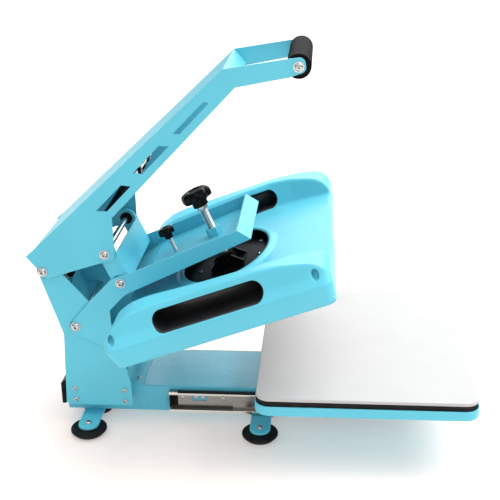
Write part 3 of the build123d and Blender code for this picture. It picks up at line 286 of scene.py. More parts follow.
@dataclass(frozen=True)
class Metal:
    """Bare or plated metal with painted shade that darkens sockets and seams; stretch draws its streaks along an
    axis.
    """

    name: str
    colour: Colour
    rough: float = 0.28
    grain: float = 260.0
    stretch: Triple = (1.0, 1.0, 1.0)
    tint: Colour = (1.0, 0.98, 0.95)
    edge: float = 0.0005
    shade_reach: float = 0.004
    socket_shade: float = 0.12

    def build(self) -> bpy.types.Material:
        """Makes the material.

        Returns:
            The material.
        """
        g = Graph.material(self.name)
        soft, edge = g.edges(self.edge)
        grain = g.noise(self.grain, 4.0, self.stretch)
        base = g.mix(g.noise(30.0, 3.0).ramp(0.35, 0.7), self.colour, toned(self.colour, *self.tint))
        streaked = g.mix(grain.ramp(0.35, 0.75) * 0.5, base, toned(self.colour, 0.78))
        # Painted shade: sockets and seams are darkened toward a near-black copy of the colour.
        return g.principled(
            Base_Color=g.mix(g.open_air(self.shade_reach).ramp(0.2, 0.8), toned(self.colour, self.socket_shade), streaked),
            Metallic=1.0,
            Roughness=grain * 0.16 + (self.rough - 0.08) + edge * 0.05,
            Normal=g.bump(0.08, 0.0003, grain, Normal=soft),
        )


@dataclass(frozen=True)
class Moulded:
    """Moulded plastic or rubber with a fine grain and faint dust."""

    name: str
    colour: Colour
    rough: float
    grain: float
    depth: float
    dust: float
    specular: float = 0.13
    edge: float = 0.0007

    def build(self) -> bpy.types.Material:
        """Makes the material.

        Returns:
            The material.
        """
        g = Graph.material(self.name)
        soft, edge = g.edges(self.edge)
        worn = g.noise(45.0, 5.0).ramp(0.42, 0.8) * 0.7 + edge * 0.2
        return g.principled(
            Base_Color=g.mix(worn, self.colour, toned(self.colour, 1.0, lift=self.dust)),
            Roughness=g.noise(60.0, 3.0) * 0.14 + (self.rough - 0.07),
            Specular_IOR_Level=self.specular,
            Normal=g.bump(self.depth, 0.0005, g.noise(self.grain, 2.0), Normal=soft),
        )


@dataclass(frozen=True)
class WovenFacing:
    """White facing of the pad: coated cloth, with a weave that barely shows."""

    name: str
    colour: Colour
    thread: float = 0.0011

    def build(self) -> bpy.types.Material:
        """Makes the material; the weave is the sum of two sine waves, one along each side.

        Returns:
            The material.
        """
        g = Graph.material(self.name)
        turn = 2 * math.pi / self.thread
        parts = g.node("ShaderNodeSeparateXYZ", None, Vector=g.place())
        weave = (g.out(parts, "X") * turn).sine() + (g.out(parts, "Y") * turn).sine()
        return g.principled(
            Base_Color=g.mix(g.noise(12.0, 5.0).ramp(0.3, 0.75), self.colour, toned(self.colour, 0.965)),
            Roughness=g.noise(25.0, 3.0) * 0.12 + 0.52,
            Normal=g.bump(0.10, 0.0004, weave * 0.25 + g.noise(500.0, 2.0)),
        )


# Finishes by the record's material slots, and a few that only this script uses.
FINISHES = {
    "blue_paint": PowderCoat("blue_powder_coat", (0.128, 0.600, 0.755)),
    # Darker copy of the blue paint, as painted shade for the base channel under the platen, with lower roughness for
    # its gloss.
    "blue_shaded_gloss": PowderCoat("blue_shaded_coat", (0.12, 0.54, 0.70), 0.26),
    "steel": Metal("zinc_steel", (0.56, 0.57, 0.58), 0.20),
    "rail_steel": Metal("rail_steel", (0.36, 0.35, 0.335), 0.24, 420.0, (0.03, 1.0, 1.0)),
    "bright_steel": Metal("polished_steel", (0.85, 0.83, 0.80), 0.14),
    "aluminium": Metal("ground_aluminium", (0.68, 0.68, 0.68), 0.38, 500.0, (1.0, 0.03, 1.0)),
    "rubber": Moulded("foot_rubber", (0.007, 0.007, 0.0075), 0.55, 700.0, 0.2, 0.012),
    "black_plastic": Moulded("black_plastic", (0.003, 0.003, 0.0033), 0.42, 900.0, 0.1, 0.01),
    "black_gloss": Moulded("black_gloss_plastic", (0.002, 0.002, 0.0022), 0.22, 500.0, 0.05, 0.008),
    "grip_rubber": Moulded("grip_rubber", (0.0025, 0.0025, 0.0025), 0.55, 900.0, 0.1, 0.006, 0.08),
    "vent_black": Moulded("vent_black", (0.016, 0.017, 0.019), 0.42, 500.0, 0.05, 0.008, 0.5),
    "black_oxide": Metal("black_oxide_steel", (0.030, 0.030, 0.032), 0.34),
    "black_tube": Moulded("black_lacquer", (0.008, 0.008, 0.009), 0.22, 300.0, 0.02, 0.012),
    "pad_rubber": Moulded("pad_foam", (0.014, 0.014, 0.015), 0.75, 1400.0, 0.5, 0.02),
    "wool": Moulded("mineral_wool", (0.62, 0.58, 0.46), 0.9, 400.0, 0.8, 0.1),
    "white_facing": WovenFacing("pad_facing", (0.53, 0.53, 0.53)),
}


def add_object(name: str, data: bpy.types.ID) -> bpy.types.Object:
    """Makes an object and adds it to the scene.

    Args:
        name: the object's name.
        data: its mesh, light or camera.

    Returns:
        The object.
    """
    made = bpy.data.objects.new(name, data)
    bpy.context.scene.collection.objects.link(made)
    return made


@dataclass
class Studio:
    """Pale floor, soft light and the camera at the photo's angle.

    Places are in metres, the lens in millimetres, the camera's angles in radians and the sun's
    width in degrees. A lamp has its name, place, aim, size and power.
    """

    lens: float = 67.7662
    sensor: float = 36.0
    yaw: float = -0.0775236
    pitch: float = 0.3643545
    roll: float = -0.0124257
    spot: Triple = (0.4479682, -1.7271400, 1.0015801)
    floor_reach: float = 12.0
    floor_colour: Colour = (0.72, 0.6336, 0.5976)
    floor_glow: float = 0.36
    glow_colour: Colour = (1.0, 0.94, 0.92)
    sky: tuple[float, float] = (0.30, 1.10)
    sky_rise: tuple[float, float] = (0.12, 0.75)
    sun_power: float = 1.5
    sun_angle: float = 50.0
    sun_run: Triple = (-0.45, -0.05, -1.0)
    lamps: tuple = (
        ("key", (1.6, 0.2, 2.0), (0.0, 0.0, 0.3), 1.2, 14.0),
        ("fill", (0.1, -2.0, 0.35), (0.0, 0.0, 0.05), 1.2, 3.0),
        ("back", (0.3, 2.6, 1.9), (0.0, 0.0, 0.3), 2.6, 44.0),
    )

    def camera(self) -> None:
        """Places the camera: its axes are the fitted right, up and backward directions."""
        level = math.cos(self.pitch)
        forward = Vector((math.sin(self.yaw) * level, math.cos(self.yaw) * level, -math.sin(self.pitch)))
        right = Vector((math.cos(self.yaw), -math.sin(self.yaw), 0.0))
        up = right.cross(forward)
        side = right * math.cos(self.roll) + up * math.sin(self.roll)
        top = up * math.cos(self.roll) - right * math.sin(self.roll)
        data = bpy.data.cameras.new("camera")
        data.lens = self.lens
        data.sensor_width = self.sensor
        data.clip_start = 0.05
        made = add_object("camera", data)
        turned = Matrix((side, top, -forward)).transposed().to_4x4()
        made.matrix_world = Matrix.Translation(Vector(self.spot) - Vector((ORIGIN_X, 0, 0))) @ turned
        bpy.context.scene.camera = made

    def floor(self) -> None:
        """Makes the large pale floor, which glows a little so that shadows on it stay light."""
        mesh = bpy.data.meshes.new("floor")
        reach = self.floor_reach
        corners = [(-reach, -reach, 0), (reach, -reach, 0), (reach, reach, 0), (-reach, reach, 0)]
        mesh.from_pydata(corners, [], [(0, 1, 2, 3)])
        made = add_object("floor", mesh)
        g = Graph.material("floor")
        paint = g.principled(
            Base_Color=g.mix(g.noise(3.0, 3.0), self.floor_colour, toned(self.floor_colour, 0.99)),
            Roughness=0.8,
            Emission_Color=self.glow_colour,
            Emission_Strength=self.floor_glow,
        )
        mesh.materials.append(paint)

    def light(self, name: str, kind: str, run: Vector, power: float) -> bpy.types.Object:
        """Adds a light.

        Args:
            name: its name.
            kind: its type.
            run: the direction in which it shines.
            power: its strength.

        Returns:
            The light's object.
        """
        data = bpy.data.lights.new(name, kind)
        data.energy = power
        made = add_object(name, data)
        made.rotation_euler = run.to_track_quat("-Z", "Y").to_euler()
        return made

    def sky_dome(self) -> None:
        """Sets a white world whose strength rises with the height of the direction."""
        g = Graph.world("studio")
        heading = g.node("ShaderNodeSeparateXYZ", None, Vector=g.place())
        low, high = self.sky
        strength = g.out(heading, "Z").ramp(*self.sky_rise) * (high - low) + low
        bpy.context.scene.world = g.finish(
            g.node("ShaderNodeBackground", None, Color=(1.0, 1.0, 1.0), Strength=strength)
        )

    def build(self) -> None:
        """Sets the world, the lights, the floor and the camera."""
        self.sky_dome()
        sun = self.light("overhead", "SUN", Vector(self.sun_run), self.sun_power)
        sun.data.angle = math.radians(self.sun_angle)
        for name, spot, aim, size, power in self.lamps:
            lamp = self.light(name, "AREA", Vector(aim) - Vector(spot), power)
            lamp.data.size = size
            lamp.location = spot
        self.floor()
        self.camera()
        bpy.context.scene.view_settings.view_transform = "Standard"


def grid_quads(rows: int, cols: int, wrap: bool = False) -> np.ndarray:
    """Corner numbers of the quads of a grid.

    Args:
        rows: number of rows of points.
        cols: number of columns of points.
        wrap: whether the last column joins the first.

    Returns:
        One row of four numbers for each quad.
    """
    across = cols if wrap else cols - 1
    row, col = np.meshgrid(np.arange(rows - 1), np.arange(across), indexing="ij")
    here, after = row * cols + col, row * cols + (col + 1) % cols
    return np.stack((here, after, after + cols, here + cols), -1).reshape(-1, 4)


def grid_surface(grid: np.ndarray, wrap: bool = False) -> Surface:
    """Surface on a grid of points; wrap joins the last column to the first."""
    return grid.reshape(-1, 3), [grid_quads(*grid.shape[:2], wrap)]


def joined(surfaces: Sequence[Surface]) -> Surface:
    """Several surfaces as one.

    Args:
        surfaces: each one's points and faces.

    Returns:
        All the points, and the faces with their corner numbers moved on.
    """
    starts = np.cumsum([0] + [len(points) for points, _ in surfaces])
    faces = [group + start for (_, groups), start in zip(surfaces, starts) for group in groups]
    return np.concatenate([points for points, _ in surfaces]), faces


def smooth_step(value: np.ndarray) -> np.ndarray:
    """Rises from 0 at 0 to 1 at 1, level at both ends."""
    t = np.clip(value, 0.0, 1.0)
    return t * t * (3.0 - 2.0 * t)


def rounding(radius: float, inside: np.ndarray) -> np.ndarray:
    """Quarter-circle drop: radius less the root of radius squared less the overshoot squared.

    Args:
        radius: the circle's radius.
        inside: distance from the end; the drop is 0 from one radius on.

    Returns:
        How far the surface drops there.
    """
    over = np.maximum(0.0, radius - inside)
    return radius - np.sqrt(np.maximum(0.0, radius**2 - over**2))


def soft_min(first: np.ndarray, second: np.ndarray, reach: float) -> np.ndarray:
    """Lower of two heights, with a fillet where they are near each other.

    Args:
        first: one height.
        second: the other height.
        reach: difference within which the fillet works.

    Returns:
        The blended height: a parabola in the share of the first one.
    """
    blend = np.clip(0.5 + 0.5 * (second - first) / reach, 0.0, 1.0)
    return second * (1 - blend) + first * blend - reach * blend * (1 - blend)


def soften(points: np.ndarray, spread: float, step: float) -> np.ndarray:
    """Rounds the corners of a path by a Gaussian mean along it.

    Args:
        points: the path, sampled at equal steps.
        spread: the mean's standard deviation, as a length.
        step: length of a step.

    Returns:
        The rounded path, with as many points.
    """
    reach = int(3 * spread / step)
    weight = np.exp(-0.5 * (np.arange(-reach, reach + 1) * step / spread) ** 2)
    weight /= weight.sum()
    before, beyond = 2 * points[:1] - points[reach:0:-1], 2 * points[-1:] - points[-2 : -reach - 2 : -1]
    padded = np.concatenate((before, points, beyond))
    return np.stack([np.convolve(padded[:, i], weight, "valid") for i in range(points.shape[1])], -1)


def sampled(corners: Sequence[Sequence[float]], step: float) -> np.ndarray:
    """Points at equal steps along straight runs between corners.

    Args:
        corners: the path's corners.
        step: aimed length of a step.

    Returns:
        The points.
    """
    path = np.array(corners, float)
    lengths = np.concatenate(([0.0], np.cumsum(np.linalg.norm(np.diff(path, axis=0), axis=1))))
    at = np.linspace(0.0, lengths[-1], int(lengths[-1] / step) + 1)
    return np.stack([np.interp(at, lengths, path[:, i]) for i in range(path.shape[1])], -1)


@dataclass(frozen=True)
class Placing:
    """A right-handed frame in the press: origin in millimetres and three unit axes."""

    origin: Triple
    x: Triple
    y: Triple
    z: Triple

    @classmethod
    def in_side_view(cls, spot: tuple[float, float], slope: float) -> Placing:
        """Frame at a side-view point, its x along a nose-up slope in degrees, y across, z up."""
        c, s = math.cos(math.radians(slope)), math.sin(math.radians(slope))
        return cls((spot[0], 0.0, spot[1]), (c, 0.0, s), (0.0, 1.0, 0.0), (-s, 0.0, c))

    def shifted(self, x: float, y: float, z: float) -> Placing:
        """The same axes from another point, given in this frame."""
        moved = self.place(np.array([[x, y, z]], float))[0]
        return Placing(tuple(moved), self.x, self.y, self.z)

    def place(self, points: np.ndarray) -> np.ndarray:
        """Points given in this frame, as places in the press."""
        return np.array(self.origin) + points @ np.array([self.x, self.y, self.z])

    def put(self, surface: Surface) -> Surface:
        """A surface given in this frame, as it lies in the press."""
        return self.place(surface[0]), surface[1]


ARM = Placing.in_side_view((-16.5, 220.0), 24.5)
PLATEN = Placing.in_side_view((97.78629, 226.95964), 19.85)


def make_piece(
    name: str, surface: Surface, finish: bpy.types.Material, body: str, crease: float
) -> bpy.types.Object:
    """Makes one mesh piece that rides on a body.

    Args:
        name: the piece's name.
        surface: its points in the press, in millimetres, X from the rear foot bar, and its faces.
        finish: its material.
        body: the body that it rides on.
        crease: angle in degrees above which an edge stays sharp.

    Returns:
        The piece.
    """
    points, groups = surface
    mesh = bpy.data.meshes.new(name)
    faces = [face for group in groups for face in group.tolist()]
    mesh.from_pydata((points * MM - (ORIGIN_X, 0.0, 0.0)).tolist(), [], faces)
    shell = bmesh.new()
    shell.from_mesh(mesh)
    bmesh.ops.remove_doubles(shell, verts=shell.verts, dist=1e-5)
    bmesh.ops.dissolve_degenerate(shell, edges=shell.edges, dist=1e-6)
    bmesh.ops.recalc_face_normals(shell, faces=shell.faces)
    shell.to_mesh(mesh)
    shell.free()
    mesh.polygons.foreach_set("use_smooth", np.ones(len(mesh.polygons), bool))
    mesh.set_sharp_from_angle(angle=math.radians(crease))
    mesh.materials.append(finish)
    piece = add_object(name, mesh)
    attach(piece, body)
    LOG.info("%s: %d faces on %s", name, len(mesh.polygons), body)
    return piece


def give_wall(piece: bpy.types.Object, thickness: float, offset: float) -> None:
    """Thickens a skin into a wall.

    Args:
        piece: the skin.
        thickness: the wall's thickness, in millimetres.
        offset: -1 for a wall that grows inward, 0 for one that grows both ways.
    """
    wall = piece.modifiers.new("wall", "SOLIDIFY")
    wall.thickness = thickness * MM
    wall.offset = offset


def turned_form(profile: np.ndarray, around: int, lobes: int = 0) -> Surface:
    """Surface of revolution about z whose radius may swell in lobes.

    A point at angle t on profile row (r, z, w) has radius
    r * (1 + w * ((1 + cos(lobes * t)) / 2) ** 0.6 - w).

    Args:
        profile: rows of radius, height and lobe depth as a share of the radius.
        around: number of points around.
        lobes: number of lobes.

    Returns:
        The points and the faces.
    """
    angle = np.linspace(0.0, 2 * math.pi, around, endpoint=False)
    swell = ((1 + np.cos(lobes * angle)) / 2) ** 0.6 - 1 if lobes else np.zeros(around)
    radius = profile[:, :1] * (1 + profile[:, 2:3] * swell[None, :])
    heights = np.repeat(profile[:, 1:2], around, 1)
    points = np.stack((radius * np.cos(angle), radius * np.sin(angle), heights), -1)
    return grid_surface(points, True)


def threaded_rod(radius: float, span: tuple[float, float], pitch: float, depth: float) -> Surface:
    """Rod about z with a screw thread.

    The radius falls in a rounded V once per pitch of height and once per turn.

    Args:
        radius: radius over the thread.
        span: heights of its two ends.
        pitch: the thread's pitch.
        depth: the thread's depth.

    Returns:
        The points and the faces.
    """
    around = 28
    low, high = span
    heights = np.linspace(low, high, int((high - low) / pitch * 6) + 1)
    angle = np.linspace(0.0, 2 * math.pi, around, endpoint=False)
    phase = heights[:, None] / pitch - angle[None, :] / (2 * math.pi)
    groove = np.abs(2 * (phase - np.floor(phase)) - 1)
    fade = smooth_step((heights - low) / pitch) * smooth_step((high - heights) / pitch)
    size = radius - depth * groove * fade[:, None]
    points = np.stack((size * np.cos(angle), size * np.sin(angle), np.repeat(heights[:, None], around, 1)), -1)
    body = points.reshape(-1, 3)
    ring = np.arange(around)
    last = (len(heights) - 1) * around
    foot = np.stack((np.full(around, len(body)), (ring + 1) % around, ring), -1)
    top = np.stack((np.full(around, len(body) + 1), last + ring, last + (ring + 1) % around), -1)
    ends = np.array([[0.0, 0.0, low], [0.0, 0.0, high]])
    return np.concatenate((body, ends)), [grid_quads(len(heights), around, True), foot, top]


@dataclass
class PlatenCover:
    """Moulded cover of the platen, in its own frame: a along it, y across, h up, in millimetres.

    The skin is a section carried along a. The section runs up the side wall, over a shoulder and
    a steep flank to the ridge's crest, and down to the valley. Its height is softly cut by the
    crest line, and its inner part shifts with a so that the crest is broader at both ends. Slots,
    pockets and the mouth are cut where a signed distance is below zero.
    """

    rear: float = -5.0
    front: float = 411.0
    lean: tuple[float, float] = (12.0, 5.0)
    lean_reach: float = 50.0
    corner: float = 16.0
    corner_fade: tuple[float, float] = (190.0, 300.0)
    brow: float = 5.0
    thick: float = 3.0
    section: tuple = ((300.0, 35.0), (285.5, 51.0), (272.0, 87.5), (252.0, 87.5), (222.0, 37.0), (0.0, 37.0))
    crest: tuple = (
        (-60.0, 20.0), (-4.0, 46.0), (16.0, 66.0), (50.0, 80.5), (84.0, 86.5), (292.0, 87.5),
        (340.0, 81.0), (386.0, 71.0), (402.0, 61.0), (412.0, 44.0), (430.0, 20.0), (450.0, 0.0),
    )
    crest_fillet: float = 7.0
    widening: tuple = (
        (-10.0, -48.0), (52.0, -38.0), (100.0, -31.0), (192.0, -16.0), (283.0, -9.0), (330.0, -14.0), (420.0, -36.0),
    )
    section_round: float = 3.4
    crest_round: float = 7.0
    flank_top: float = 272.0
    flank_fade: float = 20.0
    ridge_foot: float = 222.0
    ridge_end: float = 214.0
    above_valley: float = 38.0
    slot: tuple[float, float, float, float] = (194.5, 56.5, 202.0, 36.5)
    slot_from: float = 215.0
    pockets: tuple = ((12.4, 50.5), (386.5, 53.0))
    pocket_size: tuple[float, float] = (6.2, 9.4)
    pocket_from: float = 262.0
    pocket_rings: tuple = ((1.04, 1.6), (1.0, 5.0), (0.94, 9.0), (0.5, 10.5), (0.0, 10.5))
    mouth: tuple[float, float, float] = (194.0, 88.0, 125.0)
    lip: float = 5.0
    lip_edge: tuple[float, float] = (0.6, 4.0)
    lip_fade: tuple[float, float] = (6.0, 13.0)
    lip_until: float = 200.0
    divider: float = 246.0
    liner: float = 0.8
    liner_gap: float = 0.4
    liner_inset: float = 1.2

    def __post_init__(self) -> None:
        """Works out the rounded section and the rounded lines along the cover once."""
        step = 0.5
        points = soften(sampled(self.section, step), self.section_round, step)
        points[0] = self.section[0]
        self.run = np.concatenate(([0.0], np.cumsum(np.linalg.norm(np.diff(points, axis=0), axis=1))))
        self.section_points = points
        self.crest_points = soften(sampled(self.crest, 1.0), self.crest_round, 1.0)
        self.top = int(np.argmax(points[:, 1] > points[:, 1].max() - 0.3))

    def shape(self, along: np.ndarray, reach: np.ndarray) -> tuple[np.ndarray, np.ndarray]:
        """Skin of the near half.

        Args:
            along: place along the cover.
            reach: place along the section.

        Returns:
            Half-width and height there.
        """
        base = np.interp(reach, self.run, self.section_points[:, 0])
        h = np.interp(reach, self.run, self.section_points[:, 1])
        line = np.interp(along, self.crest_points[:, 0], self.crest_points[:, 1])
        h = soft_min(h, line, self.crest_fillet)
        share = smooth_step((self.flank_top - base) / self.flank_fade) * np.clip(base / self.ridge_foot, 0.0, 1.0)
        y = base + self.widened(along) * share
        from_mouth = self.mouth_distance(along, y)
        (least, rise), (begin, fall) = self.lip_edge, self.lip_fade
        rim = least + (1 - least) * smooth_step(from_mouth / rise)
        rim = rim * (1 - smooth_step((from_mouth - begin) / fall))
        h = h + self.lip * rim * (base < self.lip_until)
        return self.drawn_in(along, y), h - rounding(self.brow, self.end_distance(along))

    def widened(self, along: np.ndarray) -> np.ndarray:
        """Shift of the ridge's inner part at a place along the cover."""
        return np.interp(along, *np.array(self.widening).T)

    def end_distance(self, along: np.ndarray) -> np.ndarray:
        """Distance to the nearer end of the cover."""
        return np.maximum(0.0, np.minimum(along - self.rear, self.front - along))

    def drawn_in(self, along: np.ndarray, wide: np.ndarray) -> np.ndarray:
        """Half-width after the rounded plan corner has drawn the side wall in."""
        low, high = self.corner_fade
        return wide - rounding(self.corner, self.end_distance(along)) * smooth_step((wide - low) / (high - low))

    def mouth_distance(self, along: np.ndarray, y: np.ndarray) -> np.ndarray:
        """Rough distance outside the mouth's ellipse: the scaled radius less 1, over its slope.

        Args:
            along: place along the cover.
            y: place across it.

        Returns:
            The distance, below 0 inside.
        """
        centre, ra, ry = self.mouth
        u, v = (along - centre) / ra, y / ry
        radius = np.sqrt(u * u + v * v) + 1e-9
        slope = np.sqrt((u / ra) ** 2 + (v / ry) ** 2) / radius + 1e-9
        return (radius - 1) / slope

    def hole_distance(self, along: np.ndarray, reach: np.ndarray) -> np.ndarray:
        """Least signed distance to the mouth, the long slots and the screw pockets.

        Args:
            along: place along the cover.
            reach: place along the section.

        Returns:
            The distance, below 0 inside a hole.
        """
        y, h = self.shape(along, reach)
        base = np.interp(reach, self.run, self.section_points[:, 0])
        centre, mid, length, width = self.slot
        far = np.maximum(0.0, np.abs(along - centre) - (length - width) / 2)
        slot = np.hypot(far, h - mid) - width / 2
        wide, tall = self.pocket_size
        pockets = [np.hypot((along - a) / wide, (h - z) / tall) for a, z in self.pockets]
        pocket = np.where(base > self.pocket_from, (np.minimum(*pockets) - 1) * wide, 1e3)
        ridge = np.where(base > self.slot_from, np.minimum(slot, pocket), 1e3)
        return np.minimum(self.mouth_distance(along, y), ridge)

    def columns(self) -> np.ndarray:
        """Places along the section: close together on the ridge, wider in the valley."""
        ridge = float(np.interp(-self.ridge_end, -self.section_points[:, 0], self.run))
        return np.concatenate((np.arange(0.0, ridge, 2.0), np.linspace(ridge, self.run[-1], 76)))

    def rows(self) -> np.ndarray:
        """Places along the cover.

        Returns:
            The places, closer together on the rounded ends.
        """
        ends = self.brow * (1 - np.cos(np.linspace(0, math.pi / 2, 6)))
        middle = np.linspace(self.rear + self.brow, self.front - self.brow, 170)
        return np.concatenate((self.rear + ends[:-1], middle, (self.front - ends[:-1])[::-1]))

    def trimmed(self) -> tuple[np.ndarray, np.ndarray, np.ndarray, np.ndarray]:
        """Half skin after the holes.

        On each grid edge that a hole's border crosses, the nearer end slides onto the border. A
        quad with one corner inside then keeps the triangle of its other three.

        Returns:
            Places along the cover and the section, and the kept quads and triangles.
        """
        along, reach = np.meshgrid(self.rows(), self.columns(), indexing="ij")
        value = self.hole_distance(along, reach)
        move = np.zeros(value.shape, bool)
        for first, second, at_first, at_second in (
            (value[:-1], value[1:], np.s_[:-1, :], np.s_[1:, :]),
            (value[:, :-1], value[:, 1:], np.s_[:, :-1], np.s_[:, 1:]),
        ):
            crossed = (first < 0) != (second < 0)
            nearer = np.abs(first) <= np.abs(second)
            move[at_first] |= crossed & nearer
            move[at_second] |= crossed & ~nearer
        nudge = 0.05
        for _ in range(6):
            f = self.hole_distance(along, reach)
            fa = (self.hole_distance(along + nudge, reach) - f) / nudge
            fs = (self.hole_distance(along, reach + nudge) - f) / nudge
            scale = np.where(move, np.clip(f / np.maximum(fa**2 + fs**2, 0.05), -2.0, 2.0), 0.0)
            along, reach = along - scale * fa, np.clip(reach - scale * fs, 0.0, self.run[-1])
        inside = (value < 0) & ~move
        quads = grid_quads(*along.shape)
        flags = inside.ravel()[quads]
        count = flags.sum(1)
        single, lone = quads[count == 1], flags[count == 1].argmax(1)
        kept = np.stack([single[np.arange(len(single)), (lone + k) % 4] for k in (1, 2, 3)], -1)
        return along, reach, quads[count == 0], kept

    def lower_wall(self, border: np.ndarray) -> np.ndarray:
        """Wall from a border of the skin down to the cover's foot, which leans in at both ends.

        Args:
            border: points of the border.

        Returns:
            Rows of points, from the foot to the border.
        """
        steps = np.linspace(0.0, 1.0, 6)[:, None, None]
        wall = border[None] * np.array([1, 1, 0]) + border[None] * np.array([0, 0, 1]) * steps
        back = 1 - smooth_step((border[None, :, 0] - self.rear) / self.lean_reach)
        fore = 1 - smooth_step((self.front - border[None, :, 0]) / self.lean_reach)
        wall[..., 0] += (self.lean[0] * back - self.lean[1] * fore) * (1 - steps[..., 0])
        return wall

    def skin(self, finish: bpy.types.Material) -> None:
        """Makes the cover: both halves, the side and end walls, then the wall thickness.

        Args:
            finish: its material.
        """
        along, reach, quads, triangles = self.trimmed()
        y, h = self.shape(along, reach)
        surfaces = []
        for side in Side:
            grid = np.stack((along, side.value * y, h), -1)
            surfaces.append((grid.reshape(-1, 3), [quads, triangles]))
            surfaces += [grid_surface(self.lower_wall(border)) for border in (grid[:, 0], grid[0], grid[-1])]
        piece = make_piece("moulded_cover", PLATEN.put(joined(surfaces)), finish, "platen", 50.0)
        give_wall(piece, self.thick, -1.0)
        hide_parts("platen_cover")

    def face(self, along: np.ndarray, height: np.ndarray, outer: bool) -> np.ndarray:
        """Half-width of one face of the ridge.

        Args:
            along: place along the cover.
            height: height on the ridge.
            outer: whether the face is the outer or the inner one.

        Returns:
            The half-width there.
        """
        if outer:
            part = self.section_points[: self.top]
            return np.interp(height, part[:, 1], part[:, 0])
        part = self.section_points[self.top :][::-1]
        rising = part[np.argmax(part[:, 1] > self.above_valley) :]
        return np.interp(height, rising[:, 1], rising[:, 0]) + self.widened(along)

    def sleeves(self, finish: bpy.types.Material) -> None:
        """Makes black tubes through the ridges with the slots' outline, each with a divider across it.

        Args:
            finish: their material.
        """
        centre, mid, length, width = self.slot
        count = 96
        turn = np.linspace(0.0, 2 * math.pi, count, endpoint=False)
        round_off = width / 2 + self.liner_gap
        a = centre + (length - width) / 2 * np.sign(np.cos(turn)) + round_off * np.cos(turn)
        h = mid + round_off * np.sin(turn)
        outer, inner = self.face(a, h, True) - self.liner_inset, self.face(a, h, False) + self.liner_inset
        rows = [outer + (inner - outer) * t for t in np.linspace(0.0, 1.0, 8)]
        ring = np.arange(count)
        fan = np.stack((ring, (ring + 1) % count, np.full(count, count)), -1)
        surfaces = []
        for side in Side:
            across = side.value * self.divider
            plate = np.stack((a, np.full(count, across), h), -1)
            surfaces.append(grid_surface(np.stack([np.stack((a, side.value * row, h), -1) for row in rows]), True))
            surfaces.append((np.concatenate((plate, [[centre, across, mid]])), [fan]))
        piece = make_piece("vent_pocket_walls", PLATEN.put(joined(surfaces)), finish, "platen", 30.0)
        give_wall(piece, self.liner, 0.0)
        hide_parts("vent_sleeves")

    def screw_pockets(self, finish: bpy.types.Material) -> None:
        """Makes oval cups behind the pocket holes: rings that shrink on the way in, then a floor.

        Args:
            finish: their material.
        """
        turn = np.linspace(0.0, 2 * math.pi, 28, endpoint=False)
        wide, tall = self.pocket_size
        surfaces = []
        for side in Side:
            for a0, h0 in self.pockets:
                rings = []
                for grow, deep in self.pocket_rings:
                    a, h = a0 + wide * grow * np.cos(turn), h0 + tall * grow * np.sin(turn)
                    y = self.drawn_in(a, self.face(a, h, True)) - deep
                    rings.append(np.stack((a, side.value * y, h), -1))
                surfaces.append(grid_surface(np.stack(rings), True))
        piece = make_piece("cover_screw_pockets", PLATEN.put(joined(surfaces)), finish, "platen", 60.0)
        give_wall(piece, self.liner, 0.0)

    def build(self, finishes: Finishes) -> None:
        """Makes the skin, the vents' walls and the screw pockets.

        Args:
            finishes: the materials by name.
        """
        self.skin(finishes["blue_paint"])
        self.sleeves(finishes["vent_black"])
        self.screw_pockets(finishes["blue_paint"])


@dataclass
class Screws:
    """Star knobs, threaded studs and jam nut of the pressure and lock screws, in the arm's frame.

    A knob has its body, place along the arm, foot height, radius, height and number of lobes. A
    stud has its body, place, radius, ends, pitch and thread depth.
    """

    knobs: tuple = (
        ("pressure_knob", "pressure_screw", 303.0, 95.0, 31.0, 34.0, 8),
        ("lock_knob", "lock_screw", 216.0, 60.0, 16.5, 23.0, 7),
    )
    profile: tuple = (
        (0.0, 0.02, 0.0), (0.30, 0.0, 0.0), (0.47, 0.0, 0.0), (0.50, 0.03, 0.0), (0.51, 0.34, 0.0),
        (0.62, 0.37, 0.05), (0.86, 0.38, 0.15), (0.95, 0.41, 0.17), (0.99, 0.48, 0.17), (1.0, 0.60, 0.165),
        (0.99, 0.74, 0.155), (0.955, 0.85, 0.14), (0.88, 0.93, 0.11), (0.76, 0.975, 0.06), (0.62, 0.995, 0.02),
        (0.47, 1.0, 0.0), (0.44, 0.985, 0.0), (0.42, 0.955, 0.0), (0.30, 0.945, 0.0), (0.0, 0.945, 0.0),
    )
    studs: tuple = (
        ("pressure_stud", "pressure_screw", 303.0, 8.0, (-8.5, 111.0), 2.4, 0.9),
        ("lock_stud", "lock_screw", 216.0, 4.0, (21.5, 65.0), 1.5, 0.5),
    )
    nut_place: float = 303.0
    nut_rings: tuple = ((8.2, 88.2), (10.4, 88.2), (11.2, 89.0), (11.2, 94.2), (10.4, 95.0), (8.2, 95.0))

    def jam_nut(self, finish: bpy.types.Material) -> None:
        """Makes the hexagonal nut under the larger knob, a closed ring of six-sided rows.

        Args:
            finish: its material.
        """
        turn = np.arange(6) * math.pi / 3
        rings = self.nut_rings + self.nut_rings[:1]
        rows = [np.stack((r * np.cos(turn), r * np.sin(turn), np.full(6, v)), -1) for r, v in rings]
        surface = ARM.shifted(self.nut_place, 0.0, 0.0).put(grid_surface(np.stack(rows), True))
        make_piece("knob_jam_nut", surface, finish, "pressure_screw", 20.0)

    def build(self, finishes: Finishes) -> None:
        """Makes both knobs, both studs and the nut.

        Args:
            finishes: the materials by name.
        """
        for name, body, u, foot, radius, height, lobes in self.knobs:
            rows = sampled(np.array(self.profile) * (radius, height, 1.0), 0.9)
            surface = ARM.shifted(u, 0.0, foot).put(turned_form(rows, 24 * lobes, lobes))
            piece = make_piece(f"{name}_form", surface, finishes["black_gloss"], body, 40.0)
            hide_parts(name)
        for name, body, u, radius, span, pitch, depth in self.studs:
            surface = ARM.shifted(u, 0.0, 0.0).put(threaded_rod(radius, span, pitch, depth))
            piece = make_piece(f"{name}_thread", surface, finishes["steel"], body, 30.0)
            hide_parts(name)
        self.jam_nut(finishes["steel"])


